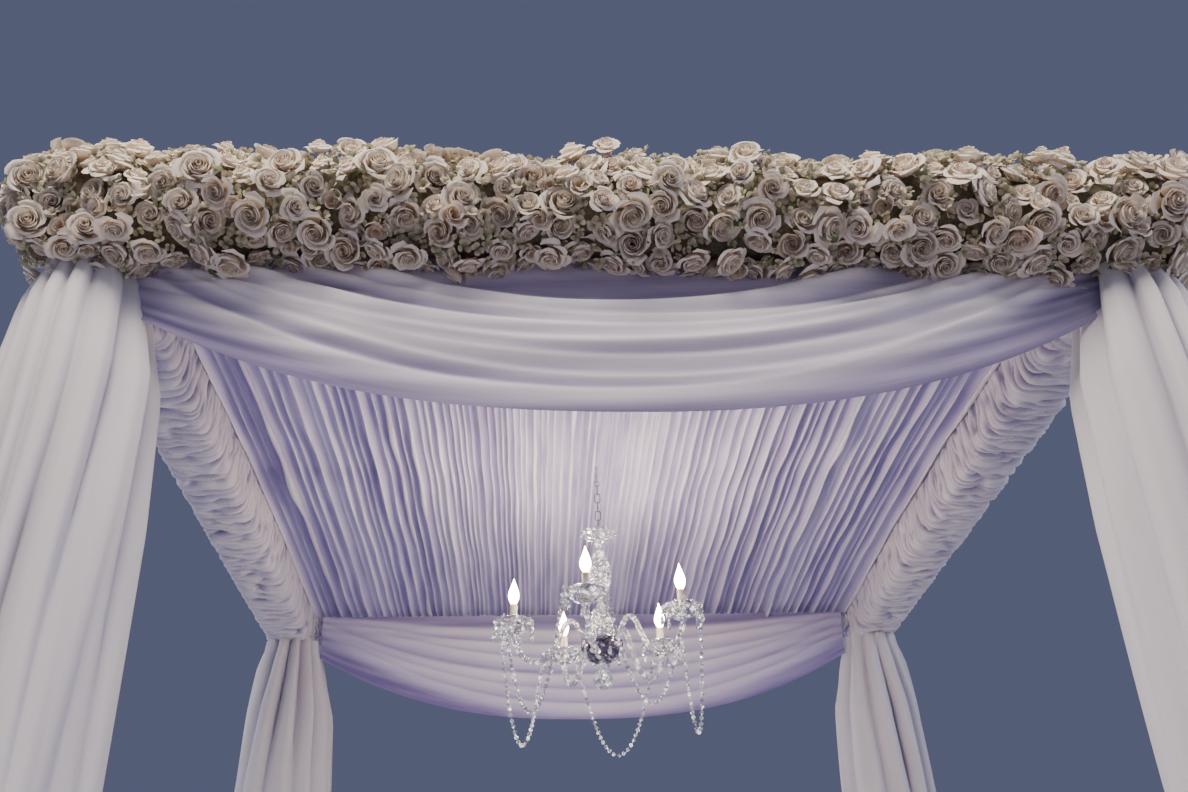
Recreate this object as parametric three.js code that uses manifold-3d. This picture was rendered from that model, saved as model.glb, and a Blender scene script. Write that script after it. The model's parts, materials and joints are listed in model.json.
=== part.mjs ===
// Draped wedding canopy with a flower band and a hanging crystal chandelier.
// Millimetres, +Z up. The front, with the flowers, faces -Y. The floor is z = 0,
// and the origin is on the floor under the middle of the canopy.

import * as THREE from 'three';
import { mergeVertices } from 'three/addons/utils/BufferGeometryUtils.js';
import Module from 'manifold-3d';

const wasm = await Module();
wasm.setup();

// Driving dimensions of the frame
const SPAN = 2438;            // between post centres, both ways: 8 ft
const BEAM_Z = 3000;          // height of the beams' centre line
const TUBE = 50;              // square steel tube, outside
const TUBE_WALL = 2;
const SEAT = 0.3;             // gap between pieces that rest on each other
const BASE_RADIUS = 200;
const BASE_PLATE = 8;
const SPIGOT_RADIUS = 20;
const SPIGOT_HEIGHT = 160;

// Driving dimensions of the cloth
const SLEEVE_HALF = 87;       // half the width and height of a side beam's cloth sleeve
const SLEEVE_WALL = 14;
const SLEEVE_RUCHE = 5;       // how far the gathers stand out and in
const SLEEVE_PITCH = 278;     // from one gather's crest to the next
const SLEEVE_PUCKER = 8;      // half width of the hole that the gathered end leaves
const SLEEVE_END = 0.86;      // size of the rounded end's shoulder, as a share of the sleeve
const REAR_SLEEVE_HALF = 36;  // the rear beam's sleeve fits it closely
const REAR_SLEEVE_BORE = 29.2;
const REAR_SLEEVE_RUCHE = 2.5;
const DRAPE_WALL = 12;
const DRAPE_PLEATS = 12;
const DRAPE_PLEAT_DEPTH = 0.05;
const DRAPE_HEM_Z = 6;        // hem just clear of the floor
const DRAPE_BELOW_SLEEVE = 3;
const CEILING_PLEATS = 34;    // half pleats in each of the two panels
const CEILING_PLEAT_RISE = 20;
const CEILING_CLOTH = 3;
const CEILING_BULGE = 36;     // the ceiling rises this much to its middle
const CEILING_HOLE = 18;      // where the hook's shank comes through
const CEILING_HEM = 6;        // the panels end this far short of the beams' outer faces
const SWAG_CLOTH = 6;
const SWAG_HALF_LENGTH = 1057;
const SWAG_CURVE = 2.3;       // power of the hanging edge: 2 is a parabola, more is flatter
const SWAG_FOLD = 9;          // how far the folds stand out, near the hanging edge
const SWAG_BELLY = 15;        // half of how far the hanging edge comes forward
const FRONT_SWAG = { topZ: 2925, lowZ: 2524, endZ: 2803 };
const REAR_SWAG = { topZ: 3030, lowZ: 2584, endZ: 2850 };

// Driving dimensions of the flower band
const BAND_HALF_LENGTH = 1425;
const BAND_RADIUS = 155;
const BAND_LUMP = 9;
const BAND_STEP = 68;         // length of one lump along the band
const BAND_END = 0.35;        // size of the rounded ends' faces, as a share of the band
const BAND_Y = -SPAN / 2 - 71;
const BAND_Z = 3047;
const BAND_NAMES = ['left', 'middle', 'right'];

// Driving dimensions of the chandelier
const BAR = 40;               // square bar over the ceiling
const BAR_OVERHANG = 67;      // past the side beams' centre lines
const HOOK_PIVOT_Z = 3016;    // bottom wire of the hook's eye
const LOOP_PIVOT_Z = 2858;    // bottom wire of the last chain link
const SHANK_RADIUS = 3;
const HOOK_WIRE = 2.2;        // wire radii
const LINK_WIRE = 1.7;
const LOOP_WIRE = 2;
const EYE_RADIUS = 9;         // hook eye and chandelier loop, to the wire's centre
const LINK_RADIUS = 9.3;
const LINKS = 5;
const LINK_FUSE = 0.5;        // neighbouring links are one piece where they touch
const ARMS = 5;
const FIRST_ARM_ANGLE = THREE.MathUtils.degToRad(-102);
const ARM_REACH = 272;
const ARM_WIRE = 7;
const HUB_Z = 2484;           // where the arms leave the hub
const HUB_RADIUS = 44;
const HUB_HALF = 8;           // half of the hub's thickness
const ROD_RADIUS = 8;         // rod from the hub to the bowl's floor
const BOWL_DEPTH = 64;
const BOWL_RADIUS = 66;
const BOWL_FLOOR = 9;
const BOWL_WALL = 5;
const TOP_DISH_Z = 2827;      // shoulder of the stem that carries the top dish
const TOP_DISH_RADIUS = 60;
const TOP_DISH_DEPTH = 14;
const STEM_NECK = 7;
const DISH_Z = 2500;          // underside of the drip dishes
const DISH_RADIUS = 64;
const DISH_DEPTH = 33;
const DISH_WALL = 4;
const DISH_HOLE = 3;
const CANDLE_RADIUS = 12.5;
const CANDLE_HEIGHT = 84;
const BULB_RADIUS = 17;
const BULB_HEIGHT = 87;
const GARLAND_SAG = 325;
const GARLAND_RADIUS = 6;
const GARLAND_TURN = THREE.MathUtils.degToRad(60);   // round the dish's rim from straight outwards

const half = SPAN / 2;
const tubeHalf = TUBE / 2;

// Finishes
function finish(color, roughness, metalness = 0) {
  return new THREE.MeshStandardMaterial({ color, roughness, metalness });
}
const paintedSteel = () => finish('#d9d9d6', 0.5, 0.3);
const voile = () => finish('#ece9f0', 0.9);
const petals = () => finish('#ddd0bd', 0.8);
const chrome = () => finish('#b9b9c0', 0.2, 1);
const crystal = () => finish('#e8e8f4', 0.05);
const frosted = () => finish('#fff6e4', 0.3);
const candleWhite = () => finish('#f2eee6', 0.6);

const canopy = new THREE.Group();

function add(name, geometry, material) {
  const mesh = new THREE.Mesh(geometry, material);
  mesh.name = name;
  canopy.add(mesh);
}

// Turns a closed surface the right way round when its volume comes out negative
function outward(geometry) {
  const p = geometry.attributes.position;
  const index = geometry.index;
  const a = new THREE.Vector3();
  const b = new THREE.Vector3();
  const c = new THREE.Vector3();
  let volume = 0;
  for (let k = 0; k < index.count; k += 3) {
    a.fromBufferAttribute(p, index.getX(k));
    b.fromBufferAttribute(p, index.getX(k + 1));
    c.fromBufferAttribute(p, index.getX(k + 2));
    volume += a.dot(b.cross(c));
  }
  if (volume < 0) {
    for (let k = 0; k < index.count; k += 3) {
      const swapped = index.getX(k + 1);
      index.setX(k + 1, index.getX(k + 2));
      index.setX(k + 2, swapped);
    }
  }
  return geometry;
}

function meshOf(points, faces) {
  const geometry = new THREE.BufferGeometry();
  geometry.setAttribute('position', new THREE.Float32BufferAttribute(points.flat(), 3));
  geometry.setIndex(faces.flat());
  return outward(geometry);
}

// A closed band: each loop is the closed section at one step round the ring
function ringSolid(loops) {
  const steps = loops.length;
  const count = loops[0].length;
  const faces = [];
  for (let i = 0; i < steps; i++) {
    const next = (i + 1) % steps;
    for (let j = 0; j < count; j++) {
      const after = (j + 1) % count;
      faces.push([i * count + j, next * count + j, next * count + after]);
      faces.push([i * count + j, next * count + after, i * count + after]);
    }
  }
  return meshOf(loops.flat(), faces);
}

// A sheet with a thickness, from the rows of points on its two faces
function sheetSolid(front, back) {
  const rows = front.length;
  const columns = front[0].length;
  const rim = [];
  for (let j = 0; j < columns; j++) rim.push([0, j]);
  for (let i = 1; i < rows; i++) rim.push([i, columns - 1]);
  for (let j = columns - 2; j >= 0; j--) rim.push([rows - 1, j]);
  for (let i = rows - 2; i > 0; i--) rim.push([i, 0]);
  const at = (i, j) => i * columns + j;
  const offset = rows * columns;
  const faces = [];
  for (let i = 0; i + 1 < rows; i++) {
    for (let j = 0; j + 1 < columns; j++) {
      faces.push([at(i, j), at(i + 1, j), at(i + 1, j + 1)]);
      faces.push([at(i, j), at(i + 1, j + 1), at(i, j + 1)]);
      faces.push([offset + at(i, j), offset + at(i + 1, j + 1), offset + at(i + 1, j)]);
      faces.push([offset + at(i, j), offset + at(i, j + 1), offset + at(i + 1, j + 1)]);
    }
  }
  rim.forEach(([i, j], k) => {
    const [ni, nj] = rim[(k + 1) % rim.length];
    faces.push([at(i, j), at(ni, nj), offset + at(ni, nj)]);
    faces.push([at(i, j), offset + at(ni, nj), offset + at(i, j)]);
  });
  return meshOf([...front.flat(), ...back.flat()], faces);
}

// A solid with round ends of its own: sections along a line, closed by a fan at each end
function capsuleSolid(sections) {
  const steps = sections.length;
  const count = sections[0].length;
  const points = sections.flat();
  const faces = [];
  for (let i = 0; i + 1 < steps; i++) {
    for (let j = 0; j < count; j++) {
      const after = (j + 1) % count;
      faces.push([i * count + j, (i + 1) * count + j, (i + 1) * count + after]);
      faces.push([i * count + j, (i + 1) * count + after, i * count + after]);
    }
  }
  for (const end of [0, steps - 1]) {
    const middle = [0, 1, 2].map((k) => sections[end].reduce((sum, p) => sum + p[k], 0) / count);
    points.push(middle);
    const centre = points.length - 1;
    for (let j = 0; j < count; j++) {
      const here = end * count + j;
      const after = end * count + (j + 1) % count;
      faces.push(end === 0 ? [centre, here, after] : [centre, after, here]);
    }
  }
  return meshOf(points, faces);
}

function toManifold(geometry) {
  const plain = geometry.clone();
  plain.deleteAttribute('normal');
  plain.deleteAttribute('uv');
  const merged = mergeVertices(plain, 1e-3);
  return new wasm.Manifold(new wasm.Mesh({
    numProp: 3,
    vertProperties: new Float32Array(merged.attributes.position.array),
    triVerts: new Uint32Array(merged.index.array),
  }));
}

function toGeometry(manifold) {
  const mesh = manifold.getMesh();
  const geometry = new THREE.BufferGeometry();
  geometry.setAttribute('position', new THREE.BufferAttribute(new Float32Array(mesh.vertProperties), 3));
  geometry.setIndex(new THREE.BufferAttribute(new Uint32Array(mesh.triVerts), 1));
  return geometry;
}

function cut(geometry, ...cutters) {
  const body = toManifold(geometry);
  return toGeometry(cutters.reduce((left, cutter) => left.subtract(toManifold(cutter)), body));
}

// The largest of the bodies that a cut leaves, without slivers
function largestOf(geometry) {
  const bodies = toManifold(geometry).decompose();
  return toGeometry(bodies.reduce((best, body) => (body.volume() > best.volume() ? body : best)));
}

function join(...geometries) {
  const [first, ...rest] = geometries.map(toManifold);
  return toGeometry(rest.reduce((body, next) => body.add(next), first));
}

function boxBetween(low, high) {
  const size = high.map((value, k) => value - low[k]);
  const centre = high.map((value, k) => (value + low[k]) / 2);
  return new THREE.BoxGeometry(...size).translate(...centre);
}

// Straight square tube along x, y or z, open at both ends
function squareTube(axis, low, high) {
  const outline = new THREE.Shape();
  const inner = tubeHalf - TUBE_WALL;
  outline.moveTo(-tubeHalf, -tubeHalf).lineTo(tubeHalf, -tubeHalf);
  outline.lineTo(tubeHalf, tubeHalf).lineTo(-tubeHalf, tubeHalf).closePath();
  const bore = new THREE.Path();
  bore.moveTo(-inner, -inner).lineTo(-inner, inner).lineTo(inner, inner).lineTo(inner, -inner).closePath();
  outline.holes.push(bore);
  const geometry = new THREE.ExtrudeGeometry(outline, { depth: high - low, bevelEnabled: false });
  geometry.translate(0, 0, low);
  if (axis === 'x') geometry.rotateY(Math.PI / 2);
  if (axis === 'y') geometry.rotateX(-Math.PI / 2);
  return geometry;
}

// Value of a profile given as [height, value] rows, from the foot up
function along(profile, z) {
  for (let k = 1; k < profile.length; k++) {
    const [z0, v0] = profile[k - 1];
    const [z1, v1] = profile[k];
    if (z <= z1) return THREE.MathUtils.lerp(v0, v1, (z - z0) / (z1 - z0));
  }
  return profile[profile.length - 1][1];
}

const corners = {
  front_left: [-1, -1],
  front_right: [1, -1],
  rear_left: [-1, 1],
  rear_right: [1, 1],
};

// Steel frame: weighted base plates, posts and beams

function basePlate(sx, sy) {
  const profile = [
    [0, 0], [BASE_RADIUS, 0], [BASE_RADIUS, BASE_PLATE], [SPIGOT_RADIUS, BASE_PLATE],
    [SPIGOT_RADIUS, BASE_PLATE + SPIGOT_HEIGHT], [0, BASE_PLATE + SPIGOT_HEIGHT],
  ].map(([r, z]) => new THREE.Vector2(r, z));
  const geometry = new THREE.LatheGeometry(profile, 20).rotateX(Math.PI / 2);
  return geometry.translate(sx * half, sy * half, 0);
}

function post(sx, sy) {
  const geometry = squareTube('z', BASE_PLATE + SEAT, BEAM_Z + tubeHalf);
  return geometry.translate(sx * half, sy * half, 0);
}

function buildFrame() {
  for (const [corner, [sx, sy]] of Object.entries(corners)) {
    add(`base_plate_${corner}`, basePlate(sx, sy), paintedSteel());
    add(`post_${corner}`, post(sx, sy), paintedSteel());
  }
  const reach = half - tubeHalf - SEAT;
  add('beam_front', squareTube('x', -reach, reach).translate(0, -half, BEAM_Z), paintedSteel());
  add('beam_rear', squareTube('x', -reach, reach).translate(0, half, BEAM_Z), paintedSteel());
  add('beam_left', squareTube('y', -reach, reach).translate(-half, 0, BEAM_Z), paintedSteel());
  add('beam_right', squareTube('y', -reach, reach).translate(half, 0, BEAM_Z), paintedSteel());
}

// Cloth: column drapes, beam sleeves, ceiling and swags

const drapeTop = BEAM_Z - SLEEVE_HALF - SLEEVE_RUCHE - DRAPE_BELOW_SLEEVE;
const drapeNeck = TUBE / Math.SQRT2 + 0.35;

// Half widths of a column drape by height: away from the canopy's middle, and towards it
const outerHalf = [[DRAPE_HEM_Z, 252], [1750, 152], [2300, 142], [2620, 137], [2780, 128], [drapeTop, 110]];
const innerHalf = [[DRAPE_HEM_Z, 300], [1750, 250], [2300, 230], [2620, 203], [2780, 157], [drapeTop, 138]];

function drapeRadius(angle, z) {
  const ax = along(Math.cos(angle) > 0 ? outerHalf : innerHalf, z);
  const ay = along(Math.sin(angle) > 0 ? outerHalf : innerHalf, z);
  const round = 1 / Math.hypot(Math.cos(angle) / ax, Math.sin(angle) / ay);
  return round * (1 + DRAPE_PLEAT_DEPTH * (Math.cos(DRAPE_PLEATS * angle) - 1));
}

// Pleated bell of cloth, open at the hem, with a round neck that fits the post
function columnDrape(sx, sy) {
  const levels = outerHalf.map(([z]) => z);
  const steps = DRAPE_PLEATS * 3;
  const loops = [];
  for (let i = 0; i < steps; i++) {
    const angle = 2 * Math.PI * i / steps;
    const place = (r, z) => [
      sx * (half + r * Math.cos(angle)),
      sy * (half + r * Math.sin(angle)),
      z,
    ];
    const outside = levels.map((z) => place(drapeRadius(angle, z), z));
    const inside = levels.map((z) => {
      const lowered = z === drapeTop ? z - DRAPE_WALL : z;
      return place(drapeRadius(angle, z) - DRAPE_WALL, lowered);
    });
    const neck = [place(drapeNeck, drapeTop), place(drapeNeck, drapeTop - DRAPE_WALL)];
    loops.push([...outside, ...neck, ...inside.reverse()]);
  }
  return ringSolid(loops);
}

// Point of a rounded square of the given half size
function sectionPoint(angle, size) {
  const c = Math.cos(angle);
  const s = Math.sin(angle);
  const reach = (Math.abs(c) ** 5 + Math.abs(s) ** 5) ** (-1 / 5);
  return [c * reach * size, s * reach * size];
}

// Cloth tube along y: rows of [y, outer half size] and of [y, inner half size]
function clothTube(outerRows, innerRows) {
  const sides = 12;
  const loops = [];
  for (let i = 0; i < sides; i++) {
    const angle = 2 * Math.PI * (i + 0.5) / sides;
    const place = ([y, size]) => {
      const [x, z] = sectionPoint(angle, size);
      return [x, y, z];
    };
    loops.push([...outerRows.map(place), ...innerRows.map(place).reverse()]);
  }
  return ringSolid(loops);
}

// Stations from low to high with the gathers' crests and hollows between them
function gathers(low, high, pitch, size, ruche) {
  const rows = [[low, size]];
  const step = pitch / 2;
  for (let k = Math.ceil(low / step + 0.2); k * step < high - 0.2 * step; k++) {
    rows.push([k * step, size + (k % 2 === 0 ? ruche : -ruche)]);
  }
  rows.push([high, size]);
  return rows;
}

const fit = tubeHalf + SEAT;

// Gathered sleeve round a side beam, from the flowers to past the rear post, puckered shut at its end
function beamSleeve(side) {
  const front = -half + fit;
  const rear = half + SLEEVE_HALF - SLEEVE_WALL;
  const outer = gathers(front, rear, SLEEVE_PITCH, SLEEVE_HALF, SLEEVE_RUCHE);
  outer.push([rear + SLEEVE_WALL - 2, SLEEVE_END * SLEEVE_HALF], [rear + SLEEVE_WALL, SLEEVE_PUCKER]);
  const bore = SLEEVE_HALF - SLEEVE_WALL;
  const inner = outer.slice(0, -2).map(([y]) => [y, bore]);
  inner.push([rear + 1, bore], [rear + 1, SLEEVE_PUCKER]);
  const tube = clothTube(outer, inner).translate(side * half, 0, BEAM_Z);
  const postHole = boxBetween(
    [side * half - fit, half - fit, BEAM_Z - 2 * SLEEVE_HALF],
    [side * half + fit, half + fit, BEAM_Z],
  );
  const inward = [side * (half - 2 * SLEEVE_HALF), side * half].sort((p, q) => p - q);
  const beamHole = boxBetween([inward[0], half - fit, BEAM_Z - fit], [inward[1], half + fit, BEAM_Z + fit]);
  return cut(tube, postHole, beamHole);
}

const sleeveFace = half - SLEEVE_HALF - SLEEVE_RUCHE;

// Close-fitting gathered sleeve on the rear beam, between the side sleeves
function rearSleeve() {
  const reach = sleeveFace - SEAT;
  const outer = gathers(-reach, reach, SLEEVE_PITCH, REAR_SLEEVE_HALF, REAR_SLEEVE_RUCHE);
  const inner = outer.map(([x]) => [x, REAR_SLEEVE_BORE]);
  return clothTube(outer, inner).rotateZ(Math.PI / 2).translate(0, half, BEAM_Z);
}

const ceilingSide = sleeveFace - 2;
const ceilingFront = -half - tubeHalf + CEILING_HEM;
const ceilingRear = half + tubeHalf - CEILING_HEM;
const ceilingFrontZ = BEAM_Z + tubeHalf + SEAT;
const ceilingRearZ = BEAM_Z + REAR_SLEEVE_HALF + REAR_SLEEVE_RUCHE + SEAT;

// Half of the pleated ceiling, from the middle seam to one side sleeve
function ceilingPanel(side) {
  const stations = 4;
  const low = [];
  const high = [];
  for (let i = 0; i <= CEILING_PLEATS; i++) {
    const x = side * THREE.MathUtils.lerp(SEAT / 2, ceilingSide, i / CEILING_PLEATS);
    const pleat = i % 2 === 0 ? 0 : CEILING_PLEAT_RISE;
    const lowRow = [];
    const highRow = [];
    for (let k = 0; k <= stations; k++) {
      const t = k / stations;
      const y = THREE.MathUtils.lerp(ceilingFront, ceilingRear, t);
      const rest = THREE.MathUtils.lerp(ceilingFrontZ, ceilingRearZ, t);
      const z = rest + pleat + CEILING_BULGE * Math.sin(Math.PI * t);
      lowRow.push([x, y, z]);
      highRow.push([x, y, z + CEILING_CLOTH]);
    }
    low.push(lowRow);
    high.push(highRow);
  }
  const reach = CEILING_HOLE / 2;
  const hole = boxBetween([-reach, -reach, BEAM_Z], [reach, reach, BEAM_Z + 200]);
  return cut(sheetSolid(low, high), hole);
}

// Swag with its back at y: straight top, hanging bottom edge, folds that follow the edge
function swag(y, { topZ, lowZ, endZ }) {
  const columns = 20;
  const rows = 8;
  const front = [];
  const back = [];
  for (let i = 0; i <= rows; i++) {
    const t = i / rows;
    const frontRow = [];
    const backRow = [];
    for (let k = 0; k <= columns; k++) {
      const s = 2 * k / columns - 1;
      const bottom = THREE.MathUtils.lerp(lowZ, endZ, Math.abs(s) ** SWAG_CURVE);
      const z = THREE.MathUtils.lerp(topZ, bottom, t);
      const fold = SWAG_FOLD * Math.sin(4 * Math.PI * t) * t;
      const belly = SWAG_BELLY * (1 - Math.cos(Math.PI * t));
      const forward = (fold + belly) * (1 - s * s);
      backRow.push([s * SWAG_HALF_LENGTH, y - forward, z]);
      frontRow.push([s * SWAG_HALF_LENGTH, y - forward - SWAG_CLOTH, z]);
    }
    front.push(frontRow);
    back.push(backRow);
  }
  return sheetSolid(front, back);
}

const frontSwagY = -half - tubeHalf - SEAT;
const rearSwagY = half - REAR_SLEEVE_HALF - REAR_SLEEVE_RUCHE - SEAT;

function buildCloth() {
  for (const [corner, [sx, sy]] of Object.entries(corners)) {
    add(`column_drape_${corner}`, columnDrape(sx, sy), voile());
  }
  add('beam_sleeve_left', beamSleeve(-1), voile());
  add('beam_sleeve_right', beamSleeve(1), voile());
  add('beam_sleeve_rear', rearSleeve(), voile());
  add('ceiling_cloth_left', ceilingPanel(-1), voile());
  add('ceiling_cloth_right', ceilingPanel(1), voile());
  add('swag_front', swag(frontSwagY, FRONT_SWAG), voile());
  add('swag_rear', swag(rearSwagY, REAR_SWAG), voile());
}

// Flower band: lengths of packed roses on foam, threaded on the front beam

// What the flowers leave room for: beam, swag, ceiling, posts, drape tops and side sleeves
function bandCutters() {
  const sleeve = SLEEVE_HALF + SLEEVE_RUCHE + SEAT;
  const play = 1;
  const frontRise = 8;
  const swagForward = SWAG_CLOTH + 3;
  const neckRadius = innerHalf[innerHalf.length - 1][1] + 4;
  const neckHeight = 200;
  const cutters = [
    boxBetween([-half - fit, -half - fit, BEAM_Z - fit], [half + fit, -half + fit, BEAM_Z + fit]),
    boxBetween(
      [-SWAG_HALF_LENGTH - play, frontSwagY - swagForward, FRONT_SWAG.lowZ],
      [SWAG_HALF_LENGTH + play, frontSwagY + play, FRONT_SWAG.topZ + SEAT],
    ),
    boxBetween(
      [-ceilingSide - play, ceilingFront - play, ceilingFrontZ - SEAT],
      [ceilingSide + play, 0, ceilingFrontZ + CEILING_PLEAT_RISE + CEILING_CLOTH + frontRise],
    ),
  ];
  for (const side of [-1, 1]) {
    const x = side * half;
    cutters.push(boxBetween([x - fit, -half - fit, 0], [x + fit, -half + fit, BEAM_Z + fit]));
    cutters.push(boxBetween([x - sleeve, -half + tubeHalf, drapeTop], [x + sleeve, 0, BEAM_Z + sleeve]));
    const neck = new THREE.CylinderGeometry(neckRadius, neckRadius, neckHeight, 24).rotateX(Math.PI / 2);
    cutters.push(neck.translate(x, -half, drapeTop + SEAT - neckHeight / 2));
  }
  return cutters;
}

function bandSection(low, high) {
  const around = 16;
  const steps = Math.round((high - low) / BAND_STEP);
  const sections = [];
  for (let i = 0; i <= steps; i++) {
    const x = THREE.MathUtils.lerp(low, high, i / steps);
    const past = Math.max(0, Math.abs(x) - (BAND_HALF_LENGTH - BAND_RADIUS));
    const shrink = Math.sqrt(Math.max(BAND_END ** 2, 1 - (past / BAND_RADIUS) ** 2));
    const section = [];
    for (let j = 0; j < around; j++) {
      const angle = 2 * Math.PI * j / around;
      const lump = BAND_LUMP * Math.sin(2.1 * i + 1.7 * j) * Math.cos(1.3 * i - 2.9 * j);
      const atEnd = i === 0 || i === steps;
      const r = (BAND_RADIUS + (atEnd ? 0 : lump)) * shrink;
      section.push([x, BAND_Y + r * Math.cos(angle), BAND_Z + r * Math.sin(angle)]);
    }
    sections.push(section);
  }
  return largestOf(cut(capsuleSolid(sections), ...bandCutters()));
}

function buildFlowers() {
  const length = 2 * BAND_HALF_LENGTH / BAND_NAMES.length;
  BAND_NAMES.forEach((name, k) => {
    const low = -BAND_HALF_LENGTH + k * length;
    const atStart = k === 0 ? 0 : SEAT / 2;
    const atEnd = k === BAND_NAMES.length - 1 ? 0 : SEAT / 2;
    add(`flower_band_${name}`, bandSection(low + atStart, low + length - atEnd), petals());
  });
}

// Chandelier: bar, hook, chain, stem, dishes, bowl, arms, candles and bead garlands

// Ring of wire in the XZ plane, with straight sides when it is stretched
function wireRing(radius, wire, stretch = 0) {
  const geometry = new THREE.TorusGeometry(radius, wire, 6, 12).rotateX(Math.PI / 2);
  const p = geometry.attributes.position;
  for (let k = 0; k < p.count; k++) {
    const z = p.getZ(k);
    if (Math.abs(z) > 1e-6 * radius) p.setZ(k, z + Math.sign(z) * stretch);
  }
  return geometry;
}

function turned(profile, segments) {
  const points = profile.map(([r, z]) => new THREE.Vector2(r, z));
  return outward(new THREE.LatheGeometry(points, segments).rotateX(Math.PI / 2));
}

const barLow = BEAM_Z + SLEEVE_HALF + SLEEVE_RUCHE + SEAT;

function hook() {
  const eyeZ = HOOK_PIVOT_Z + EYE_RADIUS;
  const foot = eyeZ + EYE_RADIUS - 1;
  const top = barLow - SEAT;
  const shank = turned([[0, foot], [SHANK_RADIUS, foot], [SHANK_RADIUS, top], [0, top]], 10);
  return join(wireRing(EYE_RADIUS, HOOK_WIRE).translate(0, 0, eyeZ), shank);
}

function chain() {
  const top = HOOK_PIVOT_Z + HOOK_WIRE + LINK_WIRE + SEAT;
  const inside = 2 * LINK_WIRE - LINK_FUSE;
  const halfLink = (top - LOOP_PIVOT_Z + (LINKS - 1) * inside) / (2 * LINKS);
  const links = [];
  for (let k = 0; k < LINKS; k++) {
    const link = wireRing(LINK_RADIUS, LINK_WIRE, halfLink - LINK_RADIUS);
    if (k % 2 === 0) link.rotateZ(Math.PI / 2);
    links.push(link.translate(0, 0, top - halfLink - k * (2 * halfLink - inside)));
  }
  return join(...links);
}

const hubUnderside = HUB_Z - HUB_HALF;
const bowlRim = hubUnderside - 1;
const bowlFloor = bowlRim - BOWL_DEPTH + BOWL_FLOOR;

// Glass baluster on a rod, from the rod's foot in the bowl up to the loop
function stem() {
  const loopZ = LOOP_PIVOT_Z + LINK_WIRE + LOOP_WIRE + SEAT - EYE_RADIUS;
  const top = loopZ - EYE_RADIUS + 1;
  const rod = [[0, bowlFloor + SEAT], [ROD_RADIUS, bowlFloor + SEAT], [ROD_RADIUS, hubUnderside]];
  const hub = [[HUB_RADIUS, hubUnderside], [HUB_RADIUS, HUB_Z + HUB_HALF]];
  const baluster = [
    [34, 16], [38, 28], [34, 61], [22, 91], [14, 116], [18, 141], [32, 171], [39, 206], [38, 241], [30, 276],
    [20, 301], [13, 316],
  ].map(([r, rise]) => [r, HUB_Z + rise]);
  const head = [[13, TOP_DISH_Z], [STEM_NECK, TOP_DISH_Z], [STEM_NECK, top - 4], [0, top]];
  const body = turned([...rod, ...hub, ...baluster, ...head], 14);
  return join(body, wireRing(EYE_RADIUS, LOOP_WIRE).translate(0, 0, loopZ));
}

// Shallow cut-glass dish with a hole in its middle
function dish(bottom, radius, depth, hole) {
  const rim = bottom + depth;
  const under = [[hole, bottom], [0.35 * radius, bottom], [0.78 * radius, bottom + 0.55 * depth]];
  const lip = [[radius, rim - DISH_WALL], [radius, rim]];
  const inside = [[0.7 * radius, bottom + 0.6 * depth + DISH_WALL], [0.3 * radius, bottom + DISH_WALL]];
  return turned([...under, ...lip, ...inside, [hole, bottom + DISH_WALL], under[0]], 12);
}

// Glass bowl under the hub, open at the top
function bowl() {
  const foot = bowlRim - BOWL_DEPTH;
  const bore = BOWL_RADIUS - BOWL_WALL;
  const lip = 8;
  const outside = [[0, foot], [16, foot], [0.7 * BOWL_RADIUS, foot + 16], [BOWL_RADIUS, bowlRim - lip]];
  const rim = [[BOWL_RADIUS, bowlRim], [bore, bowlRim]];
  const inside = [[bore, bowlRim - lip], [0.65 * BOWL_RADIUS, foot + 21], [12, bowlFloor], [0, bowlFloor]];
  return turned([...outside, ...rim, ...inside], 16);
}

// Neck and glass ball that close the bowl below
function finial() {
  const profile = [
    [0, 0], [12, 0], [6, 8], [6, 18], [14, 24], [27, 38], [30, 53], [25, 68], [10, 80], [0, 83],
  ].map(([r, drop]) => [r, bowlRim - BOWL_DEPTH - SEAT - drop]);
  return turned(profile, 12);
}

// Round rod of glass or beads along a curve
function rodAlong(points, radius, steps) {
  const section = new THREE.Shape();
  section.absarc(0, 0, radius, 0, 2 * Math.PI, false);
  return new THREE.ExtrudeGeometry(section, {
    steps,
    curveSegments: 3,
    extrudePath: new THREE.CatmullRomCurve3(points),
    bevelEnabled: false,
  });
}

// Arm of solid glass: up from the hub, over a crest, through a trough and up to its dish
function arm(angle) {
  const route = [
    [HUB_RADIUS + 2 * SEAT, HUB_Z], [52, HUB_Z], [68, HUB_Z + 28], [88, HUB_Z + 56], [112, HUB_Z + 46],
    [135, HUB_Z - 4], [162, HUB_Z - 56], [205, HUB_Z - 76], [245, HUB_Z - 56], [268, HUB_Z - 14],
    [ARM_REACH, DISH_Z - 8], [ARM_REACH, DISH_Z - 2 * SEAT],
  ];
  const points = route.map(([r, z]) => new THREE.Vector3(r, 0, z));
  return rodAlong(points, ARM_WIRE, 20).rotateZ(angle);
}

const candleFoot = DISH_Z + DISH_WALL + SEAT;
const bulbFoot = candleFoot + CANDLE_HEIGHT + SEAT;

function candle(x, y) {
  const top = candleFoot + CANDLE_HEIGHT;
  const profile = [[0, candleFoot], [CANDLE_RADIUS, candleFoot], [CANDLE_RADIUS, top], [0, top]];
  return turned(profile, 8).translate(x, y, 0);
}

// Flame-shaped lamp
function bulb(x, y) {
  const profile = [
    [0, 0], [0.62, 0], [0.85, 0.14], [1, 0.34], [0.62, 0.68], [0.2, 0.9], [0, 1],
  ].map(([r, z]) => [r * BULB_RADIUS, bulbFoot + z * BULB_HEIGHT]);
  return turned(profile, 8).translate(x, y, 0);
}

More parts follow.
